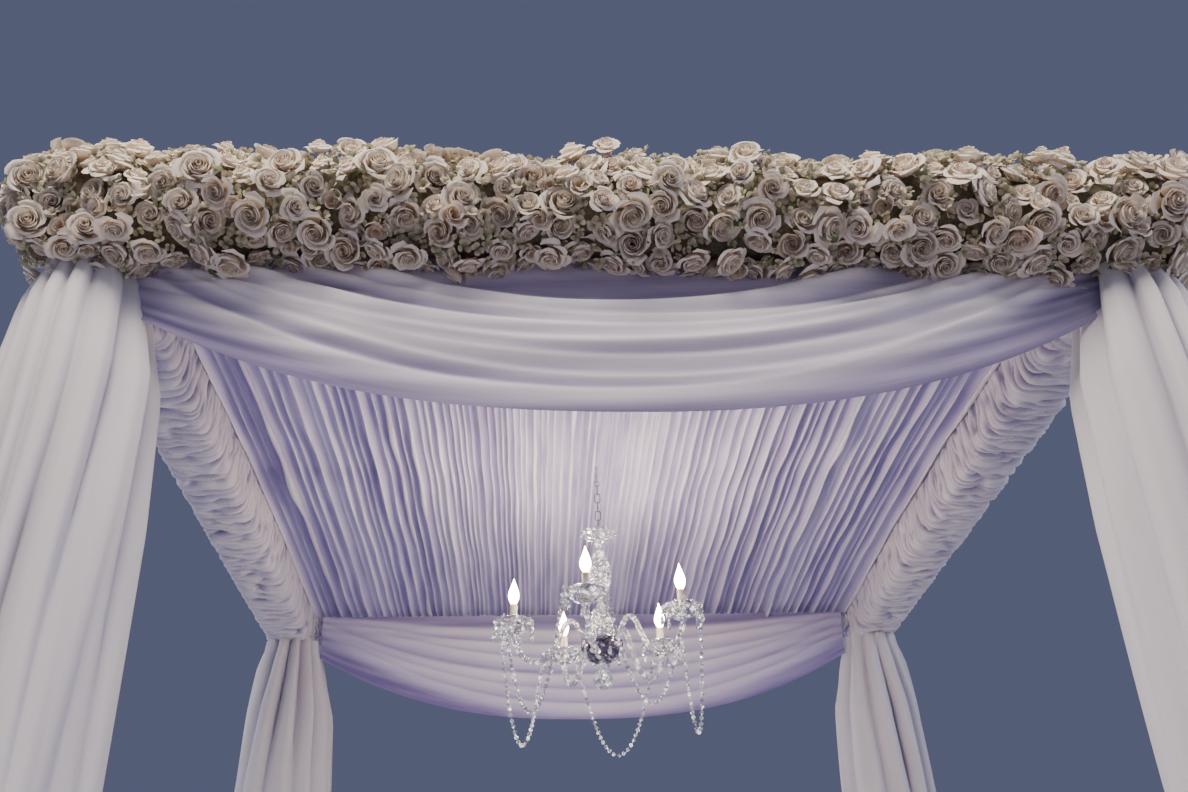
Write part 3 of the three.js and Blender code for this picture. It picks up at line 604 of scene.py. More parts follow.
def swag(label, top_z, low_z, end_z, ridges, flat_size, tuck, finish):
    """Cloth hanging between two corners. Each ridge is a fold that hangs in a curve of its own from the top
    edge: (share of the half width where it leaves that edge, lowest height, how far it stands out, width).
    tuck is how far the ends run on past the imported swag."""
    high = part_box(f"swag_{label}")[1]
    s = np.linspace(-1, 1, SWAG_COLUMNS)[None, :]
    s = np.sign(s) * (1 - (1 - np.abs(s)) ** 1.2)
    t = np.linspace(0, 1, SWAG_ROWS)[:, None]
    slack = 1 - np.abs(s) ** SWAG_CURVE
    near_ends = np.abs(s) ** 7
    z = mix(top_z, mix(end_z, low_z, slack), t)
    forward = SWAG_BELLY * np.sin(0.84 * pi * t) * slack
    crest = 0 * z
    for number, (leaves, lowest, height, wide) in enumerate(ridges):
        out = np.abs(s + 0.03 * np.sin(number * 2.4)) / leaves
        line = top_z - (top_z - lowest) * (1 - out ** RIDGE_CURVE)
        apart = (z - line) / wide
        fold = np.exp(-np.where(apart > 0, 4.0, 0.45) * apart ** 2)
        runs_out = ease((1 - np.abs(s) / leaves) / 0.18) if leaves < 1 else 0.35 + 0.65 * slack
        forward = forward + height * fold * runs_out
        crest = np.maximum(crest, fold * runs_out)
    ripples = 0.003 * wander_round(t * 1.2 + 0.15 * s, 1.3 * s, 19, 7, 0.6)
    gathers = np.abs(np.sin(SWAG_GATHERS * pi * t + 0.4 * np.sin(3 * t))) * near_ends
    flatter = ease((1 - np.abs(s)) / 0.16)
    forward = np.maximum(forward + (ripples + 0.014 * gathers) * flatter + 0.008 * near_ends, 0)
    forward = forward * (0.35 + 0.65 * ease(t / 0.06))

    points = together(s * (high.x + tuck), high.y - 0.001 - forward, z)
    # Painted shade: light on the ridges, darker down the hanging belly and in the gathered ends, with the
    # ripples.
    shade = 0.20 + 0.80 * crest - 0.30 * t * slack - 0.25 * (1 - gathers) * near_ends + 26 * ripples
    flat = together(t * flat_size[0], (s + 1) / 2 * flat_size[1])
    mesh = grid_mesh(f"swag_cloth_{label}", points, flat, fold=np.clip(shade, 0, 1))
    hang_cloth(link(mesh, finish), f"swag_{label}", flat_size)


FRONT_RIDGES = [
    (0.82, 2.722, 0.030, 0.038), (0.56, 2.800, 0.022, 0.030), (0.70, 2.762, 0.008, 0.014),
    (0.88, 2.686, 0.009, 0.016), (0.92, 2.645, 0.011, 0.030), (0.95, 2.606, 0.006, 0.014),
    (0.98, 2.570, 0.008, 0.024)]
REAR_RIDGES = [
    (1.0, 2.945, 0.014, 0.030), (1.0, 2.880, 0.018, 0.030), (1.02, 2.815, 0.016, 0.028),
    (1.05, 2.750, 0.018, 0.030), (1.08, 2.690, 0.014, 0.028), (1.1, 2.635, 0.012, 0.026)]
swag("front", 2.955, 2.524, 2.825, FRONT_RIDGES, (0.45, 2.45), 0.112, swag_voile)
swag("rear", 3.030, 2.584, 2.850, REAR_RIDGES, (0.48, 2.35), 0.030, ceiling_voile)

# %% [markdown]
# ## Rose petals
# The band is fresh cream roses pushed into wet foam. A petal is a thin curved sheet: narrow at its foot,
# cupped, with a rim that rolls outwards. Here its side view is a curve with four handles, and the petal is
# that curve swept part of the way round the flower, with an edge that is never quite even.

# %% Shape a petal
PETAL_ROWS = (0.0, 0.4, 0.68, 0.86, 1.0)


def rim_mesh(name, points, faces, rim):
    """Smooth mesh that keeps how near its rim each point is, from 0 at the foot to 1, for a painted shade at
    the foot.
    """
    mesh = bpy.data.meshes.new(name)
    mesh.from_pydata(np.reshape(points, (-1, 3)).tolist(), [], faces.tolist())
    keep_value(mesh, "rim", rim)
    mesh.shade_smooth()
    return mesh


def petal(turn, foot, belly, lip, height, wrap, curl, draw, columns):
    """Points of one petal in flower units, and how near the rim each is. foot, belly and lip are distances
    from the flower's axis, wrap is half the angle that it covers, and curl is how far its rim rolls."""
    u = np.linspace(-1, 1, columns)[None, :]
    edge = 1 - 0.16 * np.abs(u) ** 2.6 + 0.025 * draw.standard_normal(columns)[None, :]
    v = np.array(PETAL_ROWS)[:, None] * edge
    handles = [(foot, 0.0), (belly, 0.02), (belly * 0.98, height * 1.08), (lip, height)]
    weights = [(1 - v) ** 3, 3 * v * (1 - v) ** 2, 3 * v * v * (1 - v), v ** 3]
    out, up = (sum(weight * handle[axis] for weight, handle in zip(weights, handles)) for axis in (0, 1))
    rolled = np.clip((v - 0.74) / 0.26, 0, 1) ** 2
    out = out * (1 + 0.10 * u) + curl * rolled + 0.012 * draw.standard_normal()
    up = up - 0.8 * curl * rolled - 0.06 * height * u * u * v
    angle = turn + u * wrap * (0.45 + 0.55 * np.sin(np.minimum(v * 1.3, 1) * pi / 2))
    return together(out * np.cos(angle), out * np.sin(angle), up), v


print("a petal of 6 columns has", len(PETAL_ROWS) * 6, "points")

# %% [markdown]
# Inner petals stand up and wrap tightly, and outer ones lean out. Each is turned by the golden angle from
# the last, so no petal hides behind another. 19 petals make an open rose, and 11 that start further out
# make a cup with a deep centre. There are six of each, every one a little more open than the last.

# %% Grow the roses
GOLDEN_ANGLE = 2.399963
ROSE_DEPTH = 0.72         # how deep a rose is pushed in, in flower units, before its lift


def rose_mesh(name, seed, petals, first, openness, columns):
    """A rose of radius 1. first is where the spiral starts: more leaves a deep centre."""
    draw = np.random.default_rng(seed)
    points, faces, rims = [], [], []
    for k in range(petals):
        s = first + (1 - first) * k / (petals - 1)
        belly = 0.12 + 0.72 * s ** 0.9
        lip = belly * mix(0.70, 1.0 + 0.32 * openness, s ** 1.3)
        height = 0.92 - mix(0.15, 0.52, openness) * s ** 1.5 + 0.03 * draw.standard_normal()
        wrap = mix(1.75, 0.66, s ** 0.6)
        turn = k * GOLDEN_ANGLE + 0.15 * draw.standard_normal()
        curl = (0.03 + 0.12 * s) * (0.5 + openness)
        patch, rim = petal(turn, 0.05 + 0.12 * s, belly, lip, height, wrap, curl, draw, columns)
        points.append(patch.reshape(-1, 3))
        # Inner petals keep lower values, which paint them in shade deep in the flower.
        rims.append(rim.ravel() * (0.72 + 0.28 * s))
        faces.append(grid_faces(*rim.shape) + k * rim.size)
    points = np.concatenate(points)
    points[:, 2] -= ROSE_DEPTH
    points[:, :2] /= np.abs(points[:, :2]).max()
    return rim_mesh(name, points, np.concatenate(faces), np.concatenate(rims))


def collection_of(name, meshes):
    """A collection outside the scene that holds one object for each mesh."""
    made = bpy.data.collections.new(name)
    for mesh in meshes:
        made.objects.link(bpy.data.objects.new(mesh.name, mesh))
    return made


roses = collection_of("roses", [
    rose_mesh(f"rose_{k}", 200 + k, 19, 0.0, 0.5 + 0.13 * k, 6) for k in range(6)])
cups = collection_of("cups", [
    rose_mesh(f"cup_{k}", 300 + k, 11, 0.30, 0.15 + 0.12 * k, 5) for k in range(6)])

# %% [markdown]
# Hydrangea florets and rose leaves fill the gaps. A floret has four short petals, and a leaf is folded
# along its rib and bends back towards its tip. Both are only seen between the roses, so a few faces do.

# %% Grow the florets and leaves
def floret_mesh(name, seed):
    """A small flower of four petals and radius 1."""
    draw = np.random.default_rng(seed)
    points = []
    for k in range(4):
        angle = tau * k / 4 + 0.2 * draw.standard_normal()
        lift = 0.25 + 0.2 * draw.random()
        rows = [(0.06, 0.5, -0.35), (0.55, 0.78, lift - 0.28), (0.92, 0.52, lift), (1.06, 0.16, lift - 0.02)]
        for reach, half_angle, up in rows:
            for side in (-1, 1):
                spread = angle + side * half_angle
                points.append((reach * cos(spread), reach * sin(spread), up - 0.07 * side))
    faces = np.concatenate([grid_faces(4, 2) + 8 * k for k in range(4)])
    # Its rim values paint shade towards the foot of each petal.
    return rim_mesh(name, points, faces, np.tile([0.2, 0.2, 0.6, 0.6, 0.9, 0.9, 1, 1], 4))


def leaf_mesh(name, seed):
    """A pointed rose leaf of length 1.6."""
    bend = 0.5 + 0.3 * np.random.default_rng(seed).random()
    rib = np.linspace(0, 1, 5)[:, None]
    wide = 0.42 * np.sin(pi * np.clip(rib, 0.04, 0.97) ** 0.8)
    side = np.array([[-1, 0, 1]])
    up = -0.2 + bend * rib - 0.7 * rib * rib + 0.15 * wide * np.abs(side)
    # Its rib values paint shade towards its foot.
    return rim_mesh(name, together(1.6 * rib, side * wide, up), grid_faces(5, 3), np.repeat(rib, 3))


florets = collection_of("florets", [floret_mesh(f"floret_{k}", 400 + k) for k in range(4)])
leaves = collection_of("leaves", [leaf_mesh(f"leaf_{k}", 500 + k) for k in range(3)])

# %% [markdown]
# A rose petal has a soft, waxy skin: matt in light, slightly see-through, and warmer down in the cup.
# The colour follows the mesh's rim value and darkens towards each petal's foot and on the inner petals,
# which is painted shade, and a random tint for each flower keeps neighbours apart. Ripples 12 mm long,
# with finer ones in them, stand for the veins. The florets' petals and the foam are muted olives that
# only show between the roses, and the foam's darkness is partly painted shade.

# %% Colour the petals, leaves and foam
PETAL_RIPPLE_M = 0.012
BLOTCHES_A_METRE = 26.0
CRUMBS_A_METRE = 90.0


def petal_material(name, deep, body, edge, cool, through=0.18):
    """Petal skin: its colours at the foot, in the middle and at the rim, darker at the foot as painted shade,
    and the one that a tint leans to.
    """
    material, tree = new_material(name)
    rim, tint = (node(tree, "ShaderNodeAttribute", attribute_name=kept).outputs["Fac"]
                 for kept in ("rim", "tint"))
    # Painted shade: the ramp darkens towards the foot of each petal, where the rim value is low.
    warm = node(tree, "ShaderNodeValToRGB", {0: rim}, [(0.10, deep), (0.48, body), (0.85, edge)])
    place = node(tree, "ShaderNodeTexCoord").outputs["Object"]
    blotches = node(tree, "ShaderNodeTexNoise", {"Vector": place, "Scale": BLOTCHES_A_METRE, "Detail": 3.0})
    share = node(tree, "ShaderNodeMath", {0: tint, 1: blotches}, operation="MULTIPLY")
    colour = node(tree, "ShaderNodeMix", {0: share, 6: warm, 7: srgb(cool)}, data_type="RGBA").outputs[2]
    ripples = node(tree, "ShaderNodeTexNoise", {"Vector": place, "Scale": 1 / PETAL_RIPPLE_M, "Detail": 2.0})
    normal = node(tree, "ShaderNodeBump", {"Height": ripples, "Strength": 0.2, "Distance": 0.0006})
    skin = node(tree, "ShaderNodeBsdfPrincipled", {
        "Base Color": colour, "Roughness": 0.55, "Sheen Weight": 0.2, "Specular IOR Level": 0.35,
        "Normal": normal})
    glow = node(tree, "ShaderNodeBsdfTranslucent", {"Color": colour})
    both = node(tree, "ShaderNodeMixShader", {0: through, 1: skin, 2: glow})
    node(tree, "ShaderNodeOutputMaterial", {"Surface": both})
    return material


def foam_material():
    """Floral foam: dull, rough and crumbly, and dark, partly its own colour and partly painted shade for the
    gaps between the flowers.
    """
    material, tree = new_material("mossed_foam")
    place = node(tree, "ShaderNodeTexCoord").outputs["Object"]
    crumbs = node(tree, "ShaderNodeTexNoise", {"Vector": place, "Scale": CRUMBS_A_METRE, "Detail": 5.0})
    # Partly the foam's own colour and partly painted shade for the gaps between the flowers.
    colour = node(tree, "ShaderNodeValToRGB", {0: crumbs}, [
        (0.35, "#5c5646"), (0.6, "#7a735e"), (0.8, "#958d72")])
    normal = node(tree, "ShaderNodeBump", {"Height": crumbs, "Strength": 0.6, "Distance": 0.004})
    foam = node(tree, "ShaderNodeBsdfPrincipled", {"Base Color": colour, "Roughness": 0.9, "Normal": normal})
    node(tree, "ShaderNodeOutputMaterial", {"Surface": foam})
    return material


rose_petal = petal_material("rose_petal", "#c09a70", "#efdfcb", "#fbf2e6", "#e2dccb")
hydrangea_petal = petal_material("hydrangea_petal", "#605846", "#a3997f", "#cac2a8", "#8a8c6c")
rose_leaf = petal_material("rose_leaf", "#37431f", "#57693a", "#7c8a58", "#6a7a4a", 0.1)
foam_finish = foam_material()
print("flower finishes ready")

# %% [markdown]
# ## Flowers on the foam
# Florists push the big roses in first, then fill with smaller ones, then close the gaps with florets and a
# few leaves. Geometry Nodes work in the same order. A tree starts with its named inputs and a seed, and
# ends by making its instances real, because the export drops instances.

# %% Start a tree
def new_tree(name, numbers, seed):
    """A tree that takes a mesh, some named numbers and a seed, and the sockets that give them."""
    tree = bpy.data.node_groups.new(name, "GeometryNodeTree")
    tree.interface.new_socket("Geometry", in_out="INPUT", socket_type="NodeSocketGeometry")
    for label, number in numbers.items():
        tree.interface.new_socket(label, in_out="INPUT", socket_type="NodeSocketFloat").default_value = number
    tree.interface.new_socket("Seed", in_out="INPUT", socket_type="NodeSocketInt").default_value = seed
    tree.interface.new_socket("Geometry", in_out="OUTPUT", socket_type="NodeSocketGeometry")
    return tree, tree.nodes.new("NodeGroupInput").outputs


def made_of(tree, instances, material):
    """Turns instances into real geometry of one material."""
    real = node(tree, "GeometryNodeRealizeInstances", {0: instances})
    return node(tree, "GeometryNodeSetMaterial", {"Geometry": real, "Material": material})


print("tree helpers ready")

# %% [markdown]
# Each kind is scattered with its own least spacing, and any point too close to a bigger flower is dropped.
# The flowers then stand on their points, turned and tilted at random. Each random choice has a seed of its
# own, so none follows another. Most flowers sit deep and a few stand proud, because the random height is
# raised to a power. Heights are divided by the flower's size, because an instance is moved in its own units.

# %% Scatter and stand one kind
POINTS_A_M2 = 9000.0      # tried before the least spacing thins them out
SIZE_RANGE = (0.72, 1.14)
FEW_STAND_PROUD = 2.2     # power of the random height


def without(tree, points, value, test, limit):
    """The points that are left when those whose value is less than a limit, or not less, are dropped."""
    found = node(tree, "FunctionNodeCompare", {0: value, 1: limit}, operation=test)
    return node(tree, "GeometryNodeDeleteGeometry", {
        "Geometry": points, "Selection": found}, domain="POINT")


def scattered(tree, given, label, seed, bigger):
    """Points of one kind over the surface. bigger has the points of bigger kinds and the room they need."""
    thrown = node(tree, "GeometryNodeDistributePointsOnFaces", {
        "Mesh": given["Geometry"], "Distance Min": given[f"{label} spacing"], "Density Max": POINTS_A_M2,
        "Seed": seed}, distribute_method="POISSON").outputs
    points = node(tree, "GeometryNodeStoreNamedAttribute", {
        "Geometry": thrown["Points"], "Name": "facing", "Value": thrown["Rotation"]},
        data_type="QUATERNION", domain="POINT")
    for other, clear in bigger:
        near = node(tree, "GeometryNodeProximity", {0: other}, target_element="POINTS").outputs["Distance"]
        points = without(tree, points, near, "LESS_THAN", clear)
    return points


def standing(tree, given, label, seed, points, models, tilt, lift):
    """One kind of flower on its points, tilted by up to tilt and lifted by between lift's two heights."""
    seeds = [node(tree, "FunctionNodeIntegerMath", {0: seed, 1: k}, operation="ADD") for k in range(1, 5)]
    pick = node(tree, "FunctionNodeRandomValue", {4: 0, 5: len(models.objects) - 1, 8: seed}, data_type="INT")
    size, rise, tint = (
        node(tree, "FunctionNodeRandomValue", {2: low, 3: high, 8: seeds[k]}).outputs[1]
        for k, low, high in ((0, *SIZE_RANGE), (2, 0.0, 1.0), (3, 0.0, 1.0)))
    lean = node(tree, "FunctionNodeRandomValue", {
        0: (-tilt, -tilt, 0.0), 1: (tilt, tilt, tau), 8: seeds[1]}, data_type="FLOAT_VECTOR")
    scale = node(tree, "ShaderNodeMath", {0: size, 1: given[f"{label} radius"]}, operation="MULTIPLY")
    shelf = node(tree, "GeometryNodeCollectionInfo", {
        "Collection": models, "Separate Children": True, "Reset Children": True})
    facing = node(tree, "GeometryNodeInputNamedAttribute", {"Name": "facing"}, data_type="QUATERNION")
    stood = node(tree, "GeometryNodeInstanceOnPoints", {
        "Points": points, "Instance": shelf, "Pick Instance": True,
        "Instance Index": pick.outputs[2], "Rotation": facing, "Scale": scale})
    turned = node(tree, "GeometryNodeRotateInstances", {
        "Instances": stood, "Rotation": lean, "Local Space": True})
    proud = node(tree, "ShaderNodeMath", {0: rise, 1: FEW_STAND_PROUD}, operation="POWER")
    height = node(tree, "ShaderNodeMapRange", {0: proud, 1: 0.0, 2: 1.0, 3: lift[0], 4: lift[1]})
    own_units = node(tree, "ShaderNodeMath", {0: height, 1: scale}, operation="DIVIDE")
    move = node(tree, "ShaderNodeCombineXYZ", {2: own_units})
    lifted = node(tree, "GeometryNodeTranslateInstances", {
        "Instances": turned, "Translation": move, "Local Space": True})
    return node(tree, "GeometryNodeStoreNamedAttribute", {
        "Geometry": lifted, "Name": "tint", "Value": tint}, data_type="FLOAT", domain="INSTANCE")


print("flowers are", *SIZE_RANGE, "of their set size")

# %% [markdown]
# The whole tree repeats those two steps for roses, cups, leaves and florets. The band comes in three
# lengths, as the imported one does, so each length keeps the flowers between its own two ends. Every length
# scatters the whole band first, so flowers at a joint know their neighbours.

# %% Build the flower tree
FLOWER_SIZES = {
    "Rose spacing": 0.0665, "Rose radius": 0.0500, "Cup spacing": 0.037, "Cup radius": 0.0320,
    "Floret spacing": 0.0205, "Floret radius": 0.0150, "Leaf spacing": 0.110, "Leaf radius": 0.0240,
    "From x": -2.0, "To x": 2.0}
# label, models, finish, tilt, least and greatest height over the surface, room that each bigger kind needs
FLOWER_KINDS = [
    ("Rose", roses, rose_petal, 0.50, (-0.010, 0.036), ()),
    ("Cup", cups, rose_petal, 0.55, (-0.012, 0.022), (0.043,)),
    ("Leaf", leaves, rose_leaf, 0.55, (-0.010, 0.006), (0.034, 0.022)),
    ("Floret", florets, hydrangea_petal, 0.70, (-0.014, 0.007), (0.030, 0.018, 0.0))]
SEED_STEP = 17            # between one kind and the next

on_foam, given = new_tree("flowers_on_foam", FLOWER_SIZES, 5)
placed, kinds = [], []
for number, (label, models, finish, tilt, lift, rooms) in enumerate(FLOWER_KINDS):
    seed = node(on_foam, "FunctionNodeIntegerMath", {
        0: given["Seed"], 1: SEED_STEP * number}, operation="ADD")
    points = scattered(on_foam, given, label, seed, zip(placed, rooms))
    placed.append(points)
    place = node(on_foam, "GeometryNodeInputPosition")
    x = node(on_foam, "ShaderNodeSeparateXYZ", {0: place})
    points = without(on_foam, points, x, "LESS_THAN", given["From x"])
    points = without(on_foam, points, x, "GREATER_EQUAL", given["To x"])
    flowers = standing(on_foam, given, label, seed, points, models, tilt, lift)
    kinds.append(made_of(on_foam, flowers, finish))
band = on_foam.nodes.new("GeometryNodeJoinGeometry")
for kind in kinds:
    on_foam.links.new(kind.outputs[0], band.inputs[0])
node(on_foam, "NodeGroupOutput", {0: band})
print(len(on_foam.nodes), "nodes in the flower tree")

# %% [markdown]
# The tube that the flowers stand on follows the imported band: as long, as high, and rounded at its ends.
# It is a little lumpy and sags over both corner posts, so the band's outline isn't ruled. The foam inside
# is a thinner tube by the same rule.

# %% Roll the foam
BAND_PARTS = ("left", "middle", "right")
BAND_RADIUS = 0.155
BAND_LUMPS = (0.009, 0.007)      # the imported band's lumps stand out this far, in front and on top
HEADS_DEPTH = 0.012              # the flowers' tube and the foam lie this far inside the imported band
FOAM_DEPTH = 0.052
CORNER_SAG = (0.030, 1.20, 0.22)     # how much the band sags, how far from its middle, and how widely
band_boxes = np.array([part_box(f"flower_band_{part}") for part in BAND_PARTS])
band_low, band_high = band_boxes[:, 0].min(0), band_boxes[:, 1].max(0)
BAND_Y = band_low[1] + BAND_LUMPS[0] + BAND_RADIUS
BAND_Z = band_high[2] - BAND_LUMPS[1] - BAND_RADIUS


def band_tube(name, radius, lump, stations=96, around=40):
    """Closed lumpy tube with round ends along the front beam."""
    reach = band_high[0] - (BAND_RADIUS - radius)
    x = reach * np.sin(np.linspace(-pi / 2, pi / 2, stations) * 0.995)[:, None]
    x = mix(x, np.linspace(-reach, reach, stations)[:, None], 0.6)
    past = np.maximum(np.abs(x) - (reach - radius), 0) / radius
    shrink = np.sqrt(np.maximum(1 - past ** 2, 0.002))
    turn = np.linspace(0, tau, around, endpoint=False)[None, :]
    lumps = lump * (wander(x, 7, 5, 0.6) * 0.6 + wander_round(x, turn, 8, 6, 0.7) * 0.6)
    r = (radius + lumps) * shrink
    deep, where, wide = CORNER_SAG
    sag = deep * np.exp(-(((np.abs(x) - where) / wide) ** 2)) * np.clip(-np.sin(turn), 0, 1)
    points = together(x, BAND_Y + r * np.cos(turn), BAND_Z + r * np.sin(turn) - sag)
    return closed_body(grid_mesh(name, points[:, ::-1], ring=True))


foam = link(band_tube("flower_foam", BAND_RADIUS - FOAM_DEPTH, 0.004), foam_finish)
settle(foam, "canopy", "roses")
print("foam rolled,", len(foam.data.polygons), "faces")

# %% [markdown]
# Running a tree on a mesh gives a real mesh, which is what the pieces have to be. The inputs are set by
# their identifiers before the first evaluation, so the tree runs once for each piece.

# %% Stand the flowers
def made_real(name, base, tree, values):
    """Runs a tree on a mesh and returns the result as a plain mesh object. values are by input name."""
    holder = bpy.data.objects.new(name, base)
    bpy.context.scene.collection.objects.link(holder)
    modifier = holder.modifiers.new("tree", "NODES")
    modifier.node_group = tree
    for item in tree.interface.items_tree:
        if item.item_type == "SOCKET" and item.in_out == "INPUT" and item.name in values:
            modifier[item.identifier] = values[item.name]
    bpy.context.view_layer.update()
    graph = bpy.context.evaluated_depsgraph_get()
    mesh = bpy.data.meshes.new_from_object(holder.evaluated_get(graph), preserve_all_data_layers=True,
                                           depsgraph=graph)
    bpy.data.objects.remove(holder)
    mesh.name = name
    piece = bpy.data.objects.new(name, mesh)
    bpy.context.scene.collection.objects.link(piece)
    return piece


third = 2 * band_high[0] / 3
ends = (-2.0, -third / 2, third / 2, 2.0)
heads = band_tube("flower_heads", BAND_RADIUS - HEADS_DEPTH, 0.016)
for part, start, end in zip(BAND_PARTS, ends, ends[1:]):
    flowers = made_real(f"flowers_{part}", heads.copy(), on_foam, {"From x": start, "To x": end})
    settle(flowers, "canopy", "roses", f"flower_band_{part}")
    flowers.data.calc_loop_triangles()
    print(flowers.name, len(flowers.data.loop_triangles), "triangles")

# %% [markdown]
# ## Painted steel, chrome and candle wax
# The frame is square steel tube with a satin white powder coat, which has a fine orange peel about 1.2 mm
# across and turns greyer where hands and stacking rub it. The hook and fittings are chrome with a faint
# haze, and the chain is darker, tumbled nickel. The candle sleeves are cast wax over a tube, warm white.
# Each has two sizes of noise, given as cells to a metre: the large one shades the colour, the
# small one gives the relief.

# %% Finish the metal and the wax
def grained_material(name, stops, cells, relief, roughness, spread, **extra):
    """Material of two noises. relief is the bump's strength and its height in metres."""
    material, tree = new_material(name)
    place = node(tree, "ShaderNodeTexCoord").outputs["Object"]
    large, small = (node(tree, "ShaderNodeTexNoise", {"Vector": place, "Scale": scale, "Detail": detail})
                    for scale, detail in zip(cells, (5.0, 2.0)))
    colour = node(tree, "ShaderNodeValToRGB", {0: large}, stops)
    rough = node(tree, "ShaderNodeMapRange", {0: large, 1: 0.3, 2: 0.7, 3: roughness, 4: roughness + spread})
    normal = node(tree, "ShaderNodeBump", {"Height": small, "Strength": relief[0], "Distance": relief[1]})
    body = node(tree, "ShaderNodeBsdfPrincipled", {
        "Base Color": colour, "Roughness": rough, "Normal": normal, **extra})
    node(tree, "ShaderNodeOutputMaterial", {"Surface": body})
    return material


painted_steel = grained_material(
    "white_powder_coat", [(0.32, "#cfcfcd"), (0.45, "#e6e6e4"), (0.7, "#eeeeec")], (9.0, 830.0),
    (0.12, 0.0004), 0.38, 0.14)
chrome = grained_material(
    "chrome", [(0.3, "#b9babd"), (0.7, "#d6d7da")], (60.0, 1400.0), (0.05, 0.0001), 0.07, 0.10, Metallic=1.0)
dark_nickel = grained_material(
    "dark_nickel", [(0.3, "#4f4a55"), (0.7, "#7d7884")], (70.0, 1400.0), (0.08, 0.0001), 0.22, 0.14,
    Metallic=1.0)
wax = grained_material(
    "candle_wax", [(0.3, "#ddd5c6"), (0.7, "#f2ece0")], (45.0, 420.0), (0.15, 0.0004), 0.42, 0.12,
    **{"Subsurface Weight": 0.15, "Subsurface Radius": (0.004, 0.002, 0.001), "Subsurface Scale": 1.0})

PLAIN_FINISHES = {
    "base_plate": painted_steel, "post": painted_steel, "beam": painted_steel,
    "chandelier_bar": painted_steel, "chandelier_hook": chrome, "chandelier_chain": dark_nickel}
for name, piece in frame["nodes"].items():
    for start, finish in PLAIN_FINISHES.items():
        if name.startswith(start):
            for holder in piece.material_slots:
                holder.material = finish
print("frame painted, chain plated")

# %% [markdown]
# ## Cut glass
# The chandelier is lead crystal, which bends light a little more than plain glass (index 1.52 to 1.55)
# and has hardly any colour. The bowl under the hub is smoky violet glass. Cut glass shows dozens of small
# flat facets, each of which mirrors something else around it. A pattern of cells of a facet's
# size tilts the normal of each cell another way and gives it a painted reflection, dark, middle or light,
# and the lightest cells get a painted glint, a little light of their own. A slow noise under it gives the
# faint waves of pressed glass.

# %% Melt the glass
def glass_material(name, colours, index, clear, facet_m, tilt, glint):
    """Glass cut into facets of that size and tilt. colours are the painted reflections of the dark, middle
    and light facets, and glint is the painted glint of the lightest.
    """
    material, tree = new_material(name)
    place = node(tree, "ShaderNodeTexCoord").outputs["Object"]
    waves = node(tree, "ShaderNodeTexNoise", {"Vector": place, "Scale": 55.0, "Detail": 3.0})
    wavy = node(tree, "ShaderNodeBump", {"Height": waves, "Strength": 0.25, "Distance": 0.001})
    facets = node(tree, "ShaderNodeTexVoronoi", {"Vector": place, "Scale": 1 / facet_m}).outputs["Color"]
    lean = node(tree, "ShaderNodeVectorMath", {0: facets, 1: (0.5, 0.5, 0.5)}, operation="SUBTRACT")
    leaning = node(tree, "ShaderNodeVectorMath", {
        0: lean, 1: (tilt,) * 3, 2: wavy}, operation="MULTIPLY_ADD")
    normal = node(tree, "ShaderNodeVectorMath", {0: leaning}, operation="NORMALIZE")
    shade = node(tree, "ShaderNodeSeparateColor", {0: facets})
    rough = node(tree, "ShaderNodeMapRange", {0: waves, 1: 0.35, 2: 0.7, 3: 0.01, 4: 0.06})
    # Painted glint on the lightest facets, and painted reflections as the facets' colours.
    painted_glint = node(tree, "ShaderNodeMapRange", {0: shade, 1: 0.86, 2: 0.97, 3: 0.0, 4: glint})
    colour = node(tree, "ShaderNodeValToRGB", {0: shade}, zip((0.05, 0.45, 0.9), colours))
    glass = node(tree, "ShaderNodeBsdfPrincipled", {
        "Base Color": colour, "Roughness": rough, "IOR": index, "Transmission Weight": clear,
        "Normal": normal, "Emission Color": srgb("#fff6ea"), "Emission Strength": painted_glint})
    node(tree, "ShaderNodeOutputMaterial", {"Surface": glass})
    return material


crystal = glass_material("clear_crystal", ("#c3c6dc", "#f4f6fc", "#ffffff"), 1.54, 0.78, 0.009, 0.45, 1.3)
bead_crystal = glass_material("bead_crystal", ("#a4a7c4", "#f6f7ff", "#ffffff"), 1.54, 0.68, 0.005, 0.8, 2.0)
cut_crystal = glass_material("cut_crystal", ("#8e90b4", "#eceffa", "#ffffff"), 1.54, 0.82, 0.008, 0.9, 1.6)
violet_crystal = glass_material(
    "violet_crystal", ("#4c4468", "#8f86a6", "#cfc8de"), 1.52, 0.9, 0.011, 0.6, 0.5)
print("glass ready")

# %% [markdown]
# The lamps are frosted glass flames, lit. They glow amber at their foot and almost white at their widest.
# The colour follows the height along the flame, which the mesh keeps.

# %% Light the lamps
def lamp_material():
    """Frosted flame lamp that is lit."""
    material, tree = new_material("lit_flame_lamp")
    height = node(tree, "ShaderNodeAttribute", attribute_name="rim").outputs["Fac"]
    glow = node(tree, "ShaderNodeValToRGB", {0: height}, [
        (0.0, "#d98a3a"), (0.2, "#ffd9a0"), (0.45, "#fff3dc"), (0.8, "#ffe3b0"), (1.0, "#f2b268")])
    place = node(tree, "ShaderNodeTexCoord").outputs["Object"]
    frost = node(tree, "ShaderNodeTexNoise", {"Vector": place, "Scale": 700.0, "Detail": 2.0})
    normal = node(tree, "ShaderNodeBump", {"Height": frost, "Strength": 0.1, "Distance": 0.0003})
    glass = node(tree, "ShaderNodeBsdfPrincipled", {
        "Base Color": srgb("#f3ead8"), "Roughness": 0.35, "Normal": normal,
        "Emission Color": glow, "Emission Strength": 60.0})
    node(tree, "ShaderNodeOutputMaterial", {"Surface": glass})
    return material


lit_lamp = lamp_material()
print("lamp finish ready")

